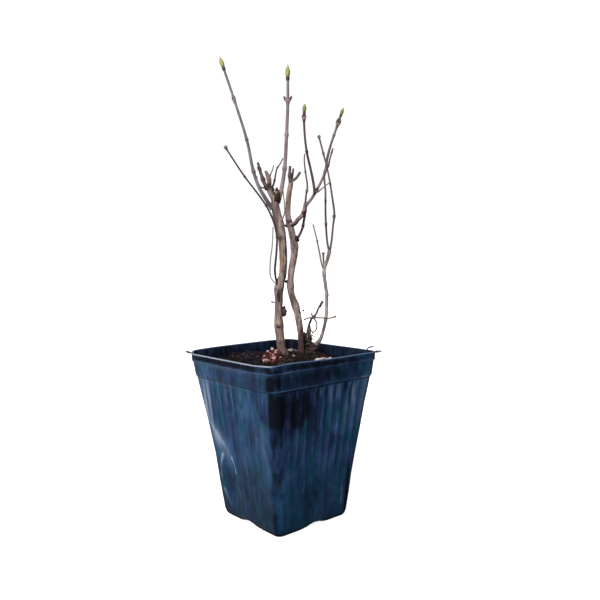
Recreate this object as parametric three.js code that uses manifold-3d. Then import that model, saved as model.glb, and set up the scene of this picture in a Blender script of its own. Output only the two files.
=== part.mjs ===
// A young lilac bush in early spring, bare but for its buds, in a square ribbed nursery pot.
// Millimetres, +Z up. The origin is on the ground under the middle of the pot, whose sides run along X and Y.
import * as THREE from "three";
import { mergeVertices } from "three/addons/utils/BufferGeometryUtils.js";
import Module from "manifold-3d";

const wasm = await Module();
wasm.setup();

// The pot: a thin moulded square shell that tapers to four corner feet.
const RIM_SIDE = 115;
const POT_HEIGHT = 140;
const WALL = 0.9;
const RIM_THICKNESS = 0.8;
const LIP_DEPTH = 6.6; // the upright band under the rim
const COLLAR_DEPTH = 20.6; // from the rim down to the ledge
const FLOOR_TOP = 4.4;
const RIBS = 9; // on each face, from the ledge down
const RIBBED_SHARE = 0.78; // of a face's width
const RIB_DEPTH = 0.9;
const CORNER_STEPS = 4;
const PLAIN_STEPS = 6; // along a face that has no ribs
const ARCH = { width: 20, height: 3.4, crown: 10 }; // the gap between the feet, on every side
const DRAIN_HOLE_RADIUS = 4;
const DRAIN_HOLE_OFFSET = 21;
const EAR_REACH = 84; // from the pot's axis to the tip of the torn rim at two corners
const EAR_WIDTH = 9;
const EAR_LENGTH = 10;
const RIM_BOW = { "+X": 0.5, "+Y": 1.3 }; // how far the collar bows up in the middle of its two back sides
const TAB = { along: -44, length: 9, height: 2.8, thickness: 0.9 }; // a torn bit of rim that stands up

// The taper below the ledge: [height, half the side, corner radius, share of the ribs' depth].
const POT_TAPER = [
  [0, 36.4, 5, 0],
  [1.5, 37.8, 6, 0],
  [5, 39.1, 7, 0],
  [20, 41.1, 8, 0.1],
  [36, 42.9, 8.5, 0.3],
  [54, 45.4, 9, 0.55],
  [75, 48.4, 9, 0.8],
  [97, 51.2, 8.5, 1],
  [118.3, 53.9, 8, 1],
];

// Where the thin left wall is pushed in: centre along the face and up it, half length and width, lean, depth.
const DENTS = [
  { along: 28, up: 62, length: 26, width: 8, lean: 35, depth: 2 },
  { along: 15, up: 25, length: 16, width: 6, lean: 12, depth: 1.4 },
  { along: 46, up: 55, length: 14, width: 8, lean: 8, depth: 1.3 },
];
const DENT_FADE = 16; // the width over which the dents fade out round the corners

// The soil, and what lies on it.
const SOIL_EDGE = 132.4;
const SOIL_HALF = 54.2;
const SOIL_TILT = -0.026; // it lies lower towards +X
const MOUND = { x: 8, y: 18, height: 2.6, spread: 22 };
const SOIL_GAP = 0.5;
const GROUND = 131; // the flat cut under each stem
const CHIPS = 22;
const CHIP_SIZE = 1.8;
const GOLDEN_ANGLE = 2.4;
const CHIP_HEAP = { x: -10, y: 1, reachX: 10, reachY: 24, height: 3.4, bed: 0.9, crown: 0.4, chips: 0.85 };
const SPLINTER = { from: [29, -8], to: [42, 3], width: 4.2, thickness: 1.6, lift: 0.2 };

// The plant's own frame is turned about the pot's axis: x across its spread, y towards its back.
const PLANT_TURN = THREE.MathUtils.degToRad(-40.5);
const CLEARANCE = 0.3;

// Living shoots carry a pair of buds at each node, each pair a quarter turn from the last.
const BUD_LENGTH = 3;
const BUD_WIDTH = 1.7;
const BUD_SPREAD = THREE.MathUtils.degToRad(32);
const NODE_SWELLING = 1.35;
const SPUR_CHANCE = 0.15;
const TIP_BUD_SINK = 0.15; // share of a tip bud's length

const materials = {
  pot: new THREE.MeshStandardMaterial({ color: 0x263c5c, roughness: 0.45 }),
  soil: new THREE.MeshStandardMaterial({ color: 0x2a1d1a, roughness: 1 }),
  chips: new THREE.MeshStandardMaterial({ color: 0x7a4740, roughness: 0.9 }),
  splinter: new THREE.MeshStandardMaterial({ color: 0xdccac4, roughness: 0.8 }),
  bark: new THREE.MeshStandardMaterial({ color: 0x75645a, roughness: 0.85 }),
  deadWood: new THREE.MeshStandardMaterial({ color: 0x3a352b, roughness: 0.95 }),
  twig: new THREE.MeshStandardMaterial({ color: 0x6f6064, roughness: 0.7 }),
};

// ---------------------------------------------------------------- solids

// A repeatable run of numbers from 0 to 1.
function seeded(seed) {
  let state = seed;
  return () => {
    state = (state * 1664525 + 1013904223) % 4294967296;
    return state / 4294967296;
  };
}

function solidOf(geometry, matrix = new THREE.Matrix4()) {
  const bare = geometry.clone().applyMatrix4(matrix);
  bare.deleteAttribute("normal");
  bare.deleteAttribute("uv");
  const merged = mergeVertices(bare, 1e-4);
  return new wasm.Manifold(
    new wasm.Mesh({
      numProp: 3,
      vertProperties: merged.attributes.position.array,
      triVerts: new Uint32Array(merged.index.array),
    }),
  );
}

function geometryOf(solid) {
  const mesh = solid.getMesh();
  const geometry = new THREE.BufferGeometry();
  geometry.setAttribute("position", new THREE.BufferAttribute(mesh.vertProperties, 3));
  geometry.setIndex(new THREE.BufferAttribute(mesh.triVerts, 1));
  geometry.computeVertexNormals();
  return geometry;
}

function largestBody(solid) {
  const bodies = solid.decompose();
  return bodies.reduce((best, body) => (body.volume() > best.volume() ? body : best));
}

function joined(solids) {
  return solids.reduce((whole, solid) => whole.add(solid));
}

// A closed surface through rings of equal count, capped by a fan at each end.
function lofted(rings) {
  const count = rings[0].length;
  const points = rings.flat();
  const index = [];
  for (let ring = 0; ring + 1 < rings.length; ring++) {
    for (let i = 0; i < count; i++) {
      const a = ring * count + i;
      const b = ring * count + ((i + 1) % count);
      index.push(a, b, b + count, a, b + count, a + count);
    }
  }
  const middleOf = (ring) =>
    ring.reduce((sum, point) => sum.add(point), new THREE.Vector3()).divideScalar(count);
  points.push(middleOf(rings[0]), middleOf(rings.at(-1)));
  const last = (rings.length - 1) * count;
  const foot = points.length - 2;
  const head = points.length - 1;
  for (let i = 0; i < count; i++) {
    const next = (i + 1) % count;
    index.push(foot, next, i);
    index.push(head, last + i, last + next);
  }
  const geometry = new THREE.BufferGeometry().setFromPoints(points);
  geometry.setIndex(index);
  return geometry;
}

// ---------------------------------------------------------------- pot and soil

// How far the left wall is pushed in at a point.
function dentDepth(point) {
  const towardsLeft = (-point.x - 0.6 * Math.abs(point.y)) / DENT_FADE;
  if (towardsLeft < 0 || point.x > -20) return 0;
  let depth = 0;
  for (const dent of DENTS) {
    const lean = THREE.MathUtils.degToRad(dent.lean);
    const across = point.y - dent.along;
    const rise = point.z - dent.up;
    const lengthwise = (rise * Math.cos(lean) + across * Math.sin(lean)) / dent.length;
    const widthwise = (across * Math.cos(lean) - rise * Math.sin(lean)) / dent.width;
    depth += dent.depth * Math.exp(-(lengthwise ** 2) - widthwise ** 2);
  }
  return depth * Math.min(1, towardsLeft);
}

// How far the collar is bowed up at a point.
function rimBow({ x, y, z }) {
  const half = RIM_SIDE / 2;
  const risen = THREE.MathUtils.clamp((z - POT_HEIGHT + COLLAR_DEPTH) / COLLAR_DEPTH, 0, 1);
  const onX = RIM_BOW["+X"] * Math.max(0, x / half) ** 8 * Math.max(0, 1 - (y / half) ** 4);
  const onY = RIM_BOW["+Y"] * Math.max(0, y / half) ** 8 * Math.max(0, 1 - (x / half) ** 4);
  return risen * (onX + onY);
}

// A rounded square seen from above, anticlockwise. On a ribbed one, a rib stands at every other point.
function squareRing([z, half, corner, ribShare = 0], steps = PLAIN_STEPS) {
  const points = [];
  const centre = half - corner;
  for (let side = 0; side < 4; side++) {
    const face = [];
    for (let i = 0; i <= steps; i++) {
      const along = half * RIBBED_SHARE * ((2 * i) / steps - 1);
      const inset = i % 2 ? 0 : ribShare * RIB_DEPTH;
      face.push(new THREE.Vector3(along, inset - half, z));
    }
    for (let i = 0; i <= CORNER_STEPS; i++) {
      const angle = (i / CORNER_STEPS - 1) * (Math.PI / 2);
      const x = centre + corner * Math.cos(angle);
      const y = -centre + corner * Math.sin(angle);
      face.push(new THREE.Vector3(x, y, z));
    }
    for (const point of face) {
      point.applyAxisAngle(new THREE.Vector3(0, 0, 1), (side * Math.PI) / 2);
      point.x += dentDepth(point);
      point.z += rimBow(point);
      points.push(point);
    }
  }
  return points;
}

// The pot's outlines from the foot up: its ribbed body, the collar and lip above the ledge, and its inside.
function potProfiles() {
  const ledge = POT_HEIGHT - COLLAR_DEPTH;
  const lip = POT_HEIGHT - LIP_DEPTH;
  const under = POT_HEIGHT - RIM_THICKNESS;
  const rim = RIM_SIDE / 2;
  const body = [...POT_TAPER, [ledge + 0.7, 54, 8, 1]];
  const collar = [
    [ledge, 54.9, 8],
    [ledge + 2, 55.4, 7.5],
    [lip - 0.3, rim - 1, 6.5],
    [lip, rim - 0.5, 6],
    [under, rim - 0.4, 6],
    [under, rim, 6],
    [POT_HEIGHT, rim, 6],
  ];
  const inside = [
    [FLOOR_TOP, 35.5, 4],
    [FLOOR_TOP + 1, 36.4, 5],
    ...POT_TAPER.slice(3).map(([z, half, corner]) => [z, half - WALL - RIB_DEPTH, corner - WALL]),
    [ledge + 0.4, 54 - WALL - RIB_DEPTH, 7],
    [ledge + 2, 55.2 - WALL, 6.5],
    [POT_HEIGHT + 1, rim - 1.9, 5],
  ];
  return { body, collar, inside };
}

// The tunnel under the pot between two pairs of feet, along X.
function archTunnel() {
  const shape = new THREE.Shape();
  shape.moveTo(-ARCH.width / 2, -1);
  shape.lineTo(ARCH.width / 2, -1);
  shape.lineTo(ARCH.width / 2, 0.4);
  shape.lineTo(ARCH.crown / 2, ARCH.height);
  shape.lineTo(-ARCH.crown / 2, ARCH.height);
  shape.lineTo(-ARCH.width / 2, 0.4);
  shape.closePath();
  const length = RIM_SIDE;
  const geometry = new THREE.ExtrudeGeometry(shape, { depth: length, bevelEnabled: false });
  geometry.translate(0, 0, -length / 2);
  geometry.rotateX(Math.PI / 2);
  return geometry;
}

// A torn, pointed end of the rim that sticks out past a corner.
function rimEar(angle) {
  const root = EAR_REACH - EAR_LENGTH;
  const shape = new THREE.Shape();
  shape.moveTo(root, -EAR_WIDTH / 2);
  shape.lineTo(EAR_REACH, -0.5);
  shape.lineTo(EAR_REACH, 0.5);
  shape.lineTo(root, EAR_WIDTH / 2);
  shape.closePath();
  const geometry = new THREE.ExtrudeGeometry(shape, { depth: RIM_THICKNESS, bevelEnabled: false });
  geometry.translate(0, 0, POT_HEIGHT - RIM_THICKNESS);
  geometry.rotateZ(angle);
  return geometry;
}

// A torn bit of the rim that is bent up, on the right side near one corner.
function rimTab() {
  const shape = new THREE.Shape();
  shape.moveTo(-TAB.length / 2, 0);
  shape.lineTo(TAB.length / 2, 0);
  shape.lineTo(TAB.length / 5, TAB.height);
  shape.lineTo(-TAB.length / 6, 0.7 * TAB.height);
  shape.closePath();
  const geometry = new THREE.ExtrudeGeometry(shape, { depth: TAB.thickness, bevelEnabled: false });
  geometry.rotateX(Math.PI / 2);
  geometry.rotateZ(Math.PI / 2);
  geometry.translate(RIM_SIDE / 2 - 0.2 - TAB.thickness, TAB.along, POT_HEIGHT - RIM_THICKNESS / 2);
  return geometry;
}

function potSolid() {
  const { body, collar, inside } = potProfiles();
  const parts = [
    solidOf(lofted(body.map((ring) => squareRing(ring, 2 * RIBS)))),
    solidOf(lofted(collar.map((ring) => squareRing(ring)))),
    solidOf(rimEar(0.75 * Math.PI)),
    solidOf(rimEar(-0.25 * Math.PI)),
    solidOf(rimTab()),
  ];
  let pot = joined(parts).subtract(solidOf(lofted(inside.map((ring) => squareRing(ring)))));
  for (const turn of [0, Math.PI / 2]) pot = pot.subtract(solidOf(archTunnel().rotateZ(turn)));
  for (let side = 0; side < 4; side++) {
    const hole = new THREE.CylinderGeometry(DRAIN_HOLE_RADIUS, DRAIN_HOLE_RADIUS, 4 * FLOOR_TOP, 12);
    hole.rotateX(Math.PI / 2);
    hole.translate(DRAIN_HOLE_OFFSET, 0, 0);
    hole.rotateZ((side * Math.PI) / 2);
    pot = pot.subtract(solidOf(hole));
  }
  return largestBody(pot);
}

// A point of the pot's frame seen in the plant's frame.
function inPlantFrame(x, y) {
  return new THREE.Vector2(x, y).rotateAround(new THREE.Vector2(), -PLANT_TURN);
}

function soilHeight(x, y) {
  const seen = inPlantFrame(x, y);
  const away = (seen.x - MOUND.x) ** 2 + (seen.y - MOUND.y) ** 2;
  const mound = MOUND.height * Math.exp(-away / (2 * MOUND.spread ** 2));
  const lumps = 0.5 * Math.sin(0.31 * x + 1) * Math.cos(0.27 * y) + 0.3 * Math.sin(0.7 * x - 0.6 * y);
  return SOIL_EDGE + SOIL_TILT * x + mound + lumps;
}

function soilSolid() {
  const filled = potProfiles().inside.filter(([z]) => z < SOIL_EDGE - 4);
  const sides = filled.map(([z, half, corner]) => squareRing([z + CLEARANCE, half - SOIL_GAP, corner]));
  const brim = squareRing([SOIL_EDGE, SOIL_HALF, 6]);
  const top = [1, 0.82, 0.62, 0.42, 0.22].map((share) =>
    brim.map((point) => {
      const x = share * point.x;
      const y = share * point.y;
      return new THREE.Vector3(x, y, soilHeight(x, y));
    }),
  );
  return solidOf(lofted([...sides, ...top]));
}

// A small angular piece of bark or grit, lying at its own angle.
function chipSolid(random, x, y, size) {
  const geometry = new THREE.IcosahedronGeometry(1, 0);
  geometry.scale(size, size * (0.5 + 0.3 * random()), size * (0.4 + 0.25 * random()));
  geometry.rotateX(0.9 * random());
  geometry.rotateZ(2 * Math.PI * random());
  geometry.translate(x, y, 0);
  return geometry;
}

// A place in the plant's frame, on the soil.
function onSoil(x, y) {
  const spot = new THREE.Vector2(x, y).rotateAround(new THREE.Vector2(), PLANT_TURN);
  return new THREE.Vector3(x, y, soilHeight(spot.x, spot.y));
}

// Reddish bark chips heaped against the left stem, on a thin bed that joins them.
function chipHeapSolid() {
  const random = seeded(11);
  const spotAt = (angle, share) =>
    onSoil(
      CHIP_HEAP.x + share * CHIP_HEAP.reachX * Math.cos(angle),
      CHIP_HEAP.y + share * CHIP_HEAP.reachY * Math.sin(angle),
    );
  const bedRing = (share, lift) =>
    Array.from({ length: 9 }, (_, i) => {
      const spot = spotAt((i / 9) * 2 * Math.PI, share);
      spot.z += lift;
      return spot;
    });
  const { bed, crown, height, chips } = CHIP_HEAP;
  const parts = [solidOf(lofted([bedRing(bed, -1), bedRing(bed, 1), bedRing(crown, height)]))];
  for (let i = 0; i < CHIPS; i++) {
    const share = Math.sqrt((i + 0.5) / CHIPS);
    const spot = spotAt(i * GOLDEN_ANGLE, chips * share);
    const chip = chipSolid(random, spot.x, spot.y, CHIP_SIZE + random());
    const lift = CHIP_SIZE / 3 + height * (1 - share ** 2);
    chip.translate(0, 0, spot.z + lift + 0.8 * random());
    parts.push(solidOf(chip));
  }
  return joined(parts);
}

// The pale split of wood that lies on the soil by the pot's right wall.
function splinterSolid() {
  const from = onSoil(...SPLINTER.from);
  const to = onSoil(...SPLINTER.to);
  const length = Math.hypot(to.x - from.x, to.y - from.y);
  const shape = new THREE.Shape();
  shape.moveTo(0, -SPLINTER.width / 2);
  shape.lineTo(0.7 * length, -SPLINTER.width / 3);
  shape.lineTo(length, 0);
  shape.lineTo(0.8 * length, SPLINTER.width / 3);
  shape.lineTo(0, SPLINTER.width / 2);
  shape.closePath();
  const geometry = new THREE.ExtrudeGeometry(shape, { depth: SPLINTER.thickness, bevelEnabled: false });
  geometry.rotateY(-Math.atan2(to.z - from.z, length));
  geometry.rotateZ(Math.atan2(to.y - from.y, to.x - from.x));
  geometry.translate(from.x, from.y, from.z + SPLINTER.lift);
  return solidOf(geometry);
}

// ---------------------------------------------------------------- limbs

// The line of a limb through points [x, y, z, diameter], read by the distance from its foot.
class LimbLine {
  constructor(points) {
    const places = points.map(([x, y, z]) => new THREE.Vector3(x, y, z));
    const curve = new THREE.CatmullRomCurve3(places, false, "centripetal");
    const spans = points.length - 1;
    const fine = 12;
    this.marks = [];
    let along = 0;
    for (let i = 0; i <= spans * fine; i++) {
      const place = curve.getPoint(i / (spans * fine));
      const span = Math.min(Math.floor(i / fine), spans - 1);
      const share = i / fine - span;
      const diameter = THREE.MathUtils.lerp(points[span][3], points[span + 1][3], share);
      if (i > 0) along += place.distanceTo(this.marks.at(-1).place);
      this.marks.push({ along, place, diameter });
    }
    this.length = along;
  }

  at(distance) {
    const wanted = THREE.MathUtils.clamp(distance, 0, this.length);
    const next = Math.max(1, this.marks.findIndex((mark) => mark.along >= wanted));
    const [a, b] = [this.marks[next - 1], this.marks[next]];
    const share = (wanted - a.along) / (b.along - a.along);
    return {
      place: a.place.clone().lerp(b.place, share),
      direction: b.place.clone().sub(a.place).normalize(),
      diameter: THREE.MathUtils.lerp(a.diameter, b.diameter, share),
    };
  }
}

// Two directions square to a limb, the first as near the plant's depth as it can be.
function crosswise(direction) {
  const first = new THREE.Vector3(0.08, 1, 0.03).projectOnPlane(direction).normalize();
  return [first, new THREE.Vector3().crossVectors(direction, first)];
}

function sectionRing(place, direction, radius, sides) {
  const [first, second] = crosswise(direction);
  return Array.from({ length: sides }, (_, i) => {
    const angle = (i / sides) * 2 * Math.PI;
    return place
      .clone()
      .addScaledVector(first, radius * Math.cos(angle))
      .addScaledVector(second, radius * Math.sin(angle));
  });
}

// A limb's round, tapering body, swollen at its nodes. `grow` makes it that much larger all round.
function limbSolid({ path, nodes = [], sides = 6, step = 12, swelling = NODE_SWELLING }, grow = 0) {
  const line = new LimbLine(path);
  const stops = [];
  const count = Math.max(2, Math.ceil(line.length / step));
  for (let i = 0; i <= count; i++) stops.push((i / count) * line.length);
  for (const share of nodes) {
    const middle = share * line.length;
    const halfNode = 0.9 * line.at(middle).diameter;
    stops.push(middle - halfNode, middle, middle + halfNode);
  }
  stops.sort((a, b) => a - b);
  const apart = (stop, i) => i === 0 || stop === line.length || stop - stops[i - 1] > 0.4;
  const kept = stops.filter((stop, i) => stop >= 0 && stop <= line.length && apart(stop, i));
  const rings = kept.map((stop, i) => {
    const { place, direction, diameter } = line.at(stop);
    const atNode = nodes.some((share) => Math.abs(share * line.length - stop) < 0.45);
    const radius = (diameter / 2) * (atNode ? swelling : 1) + grow;
    if (i === 0) place.addScaledVector(direction, -grow);
    if (i === kept.length - 1) place.addScaledVector(direction, grow);
    return sectionRing(place, direction, radius, sides);
  });
  return solidOf(lofted(rings));
}

// An egg-shaped bud whose foot is sunk in the wood.
function budSolid(foot, direction, length, width, grow, sides = 4) {
  const profile = [[0, 0.6], [0.35, 1], [0.72, 0.66], [1, 0.12]];
  const rings = profile.map(([share, wide]) => {
    const place = foot.clone().addScaledVector(direction, share * (length + grow));
    return sectionRing(place, direction, (wide * width) / 2 + grow, sides);
  });
  return solidOf(lofted(rings));
}

// The opposite pairs of buds of one shoot, some of them grown into short spurs.
function budPairs({ path, nodes = [], seed, budScale = 1, budSizes = [] }, grow) {
  const line = new LimbLine(path);
  const random = seeded(seed);
  const buds = [];
  nodes.forEach((share, pair) => {
    const { place, direction, diameter } = line.at(share * line.length);
    const [first, second] = crosswise(direction);
    const turn = (pair % 2) * (Math.PI / 2) + 0.5 * (random() - 0.5);
    const outward = second.clone().multiplyScalar(Math.cos(turn)).addScaledVector(first, Math.sin(turn));
    for (const side of [-1, 1]) {
      const spur = random() < SPUR_CHANCE ? 1.7 : 1;
      const size = (budSizes[pair] ?? budScale) * (0.85 + 0.3 * random());
      const aim = direction
        .clone()
        .multiplyScalar(Math.cos(BUD_SPREAD))
        .addScaledVector(outward, side * Math.sin(BUD_SPREAD));
      const foot = place.clone().addScaledVector(outward, side * 0.25 * diameter);
      const length = spur * size * BUD_LENGTH + diameter / 4;
      buds.push(budSolid(foot, aim, length, size * BUD_WIDTH, grow));
    }
  });
  return buds;
}

// The swelling bud at a shoot's end: a green egg with two scale tips at its waist.
function tipBudSolids({ path, tipBud }, grow) {
  const line = new LimbLine(path);
  const { place, direction } = line.at(line.length);
  const foot = place.clone().addScaledVector(direction, -TIP_BUD_SINK * tipBud.length);
  const solids = [budSolid(foot, direction, tipBud.length, tipBud.width, grow, 7)];
  const [, across] = crosswise(direction);
  for (const side of [-1, 1]) {
    const aim = direction.clone().addScaledVector(across, 0.35 * side).normalize();
    const root = foot.clone().addScaledVector(across, 0.2 * side * tipBud.width);
    solids.push(budSolid(root, aim, 0.62 * tipBud.length, 0.5 * tipBud.width, grow));
  }
  return solids;
}

// A shoot or a whole mass: its own stem, side twigs and buds, in one piece.
function shootSolid(shoot, grow = 0) {
  const parts = [limbSolid(shoot, grow)];
  for (const path of shoot.twigs ?? []) parts.push(limbSolid({ path, sides: 4, step: 9 }, grow));
  if (shoot.seed) parts.push(...budPairs(shoot, grow));
  if (shoot.tipBud) parts.push(...tipBudSolids(shoot, grow));
  return joined(parts);
}

// ---------------------------------------------------------------- the plant

// Woody stems and boughs. Each path runs from the foot to the fork or tip as [x, y, z, diameter].
const stems = {
  left_stem: {
    path: [
      [2, 15, 126, 12.5],
      [0.4, 15, 134, 10.2],
      [-1.2, 15, 142, 7.9],
      [-3.2, 14, 162, 7.4],
      [-3.2, 13, 173, 6.9],
      [-2.7, 12, 184, 7.2],
      [-2.4, 11, 194, 7.6],
      [0.8, 10, 206, 6.2],
      [1.4, 9, 220, 6.6],
      [0.8, 8.5, 240, 7],
      [-3, 8, 257, 7.4],
      [-4.4, 7.4, 266, 6.9],
      [-4, 7, 272, 5.6],
      [-3.7, 7, 275.4, 4.4],
    ],
    nodes: [0.24, 0.46, 0.82],
    sides: 12,
    step: 7,
    swelling: 1.14,
    knots: [
      { at: [1.4, 15, 173], size: [2.6, 2.6, 4.6] },
      { at: [-6.8, 12, 181.5], size: [2, 1, 1.1] },
      { at: [-5.4, 7, 276.4], size: [1, 1, 2.6] },
      { at: [-2.2, 7, 276.6], size: [1, 1, 3] },
    ],
  },
  middle_stem: {
    path: [
      [16.6, 23, 126, 7.6],
      [16.2, 23, 138, 6],
      [15.6, 22, 154, 5.4],
      [12.2, 19, 175, 6],
      [7.8, 16, 190, 5.7],
      [8, 14, 204, 5.4],
      [11.6, 12, 227, 6],
      [9.6, 11, 241, 5.7],
      [6.5, 10, 255, 4.6],
      [7.5, 8, 272, 4.4],
      [9.5, 7, 283, 4.2],
    ],
    nodes: [0.33, 0.445, 0.66, 0.78],
    sides: 10,
    step: 7,
    swelling: 1.18,
    knots: [
      { at: [4.8, 15, 199], size: [2.2, 1.2, 1.6] },
      { at: [14.2, 13, 235], size: [1.8, 1.6, 1.8] },
      { at: [5.2, 10, 247], size: [1.7, 1.1, 1.4] },
    ],
  },
  dead_stump: {
    path: [
      [18.6, 32, 126, 11.5],
      [20, 32, 136, 9.6],
      [21.6, 31, 145, 7],
      [22.8, 30, 152, 4],
      [23.6, 30, 160, 2.3],
      [25.8, 30, 165.6, 2],
    ],
    nodes: [0.72],
    sides: 9,
    step: 4,
    swelling: 1.25,
    knots: [
      { at: [20, 26.5, 135.5], size: [6, 3.5, 4.5] },
      { at: [16, 32, 149], size: [3, 1.2, 1.4] },
      { at: [25.4, 31.5, 148], size: [2.4, 1.4, 2.6] },
    ],
  },
  right_stem: {
    path: [
      [24.5, 30, 126, 9.5],
      [25.4, 30, 136.5, 8],
      [29, 31.5, 141, 5.6],
      [33.2, 32, 146, 3.4],
      [35.4, 32, 152, 2.9],
      [38.7, 30, 167, 2.9],
      [39.3, 30, 186, 3.1],
      [37.4, 28, 208, 3],
      [40.6, 29, 218, 2.3],
      [42.4, 30, 225, 3.2],
    ],
    nodes: [0.4, 0.62, 0.79],
    sides: 8,
    step: 6,
    swelling: 1.22,
  },
  fork_bough: {
    path: [
      [-3.8, 7, 266, 4.6],
      [-6.9, 6, 272, 4.3],
      [-8.8, 5.4, 277, 4],
      [-8.7, 4, 283.6, 3.6],
      [-9.4, 3, 287.5, 3.7],
      [-11.4, 1, 292, 2.6],
    ],
    nodes: [0.45, 0.75],
    sides: 7,
    step: 4,
    swelling: 1.15,
  },
  cross_bough: {
    path: [
      [7.4, 9.6, 247.4, 4.2],
      [12, 7.4, 248.6, 3.8],
      [15, 6, 252, 3.5],
      [19.6, 4.4, 256.6, 3.7],
      [21.6, 3, 265, 3.4],
    ],
    nodes: [0.7],
    sides: 7,
    step: 4,
    swelling: 1.2,
    knots: [{ at: [21.6, 4, 254.4], size: [1.8, 1.3, 1.6] }],
  },
  right_bough: {
    path: [
      [21.6, 3.2, 263, 2.6],
      [26.2, 3, 268.4, 2.5],
      [30, 2, 274.2, 2.4],
      [36, 0, 285.2, 2],
      [39.4, -2, 294.6, 2.2],
    ],
    nodes: [0.42, 0.9],
    sides: 6,
    step: 6,
    swelling: 1.3,
  },
};

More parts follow.
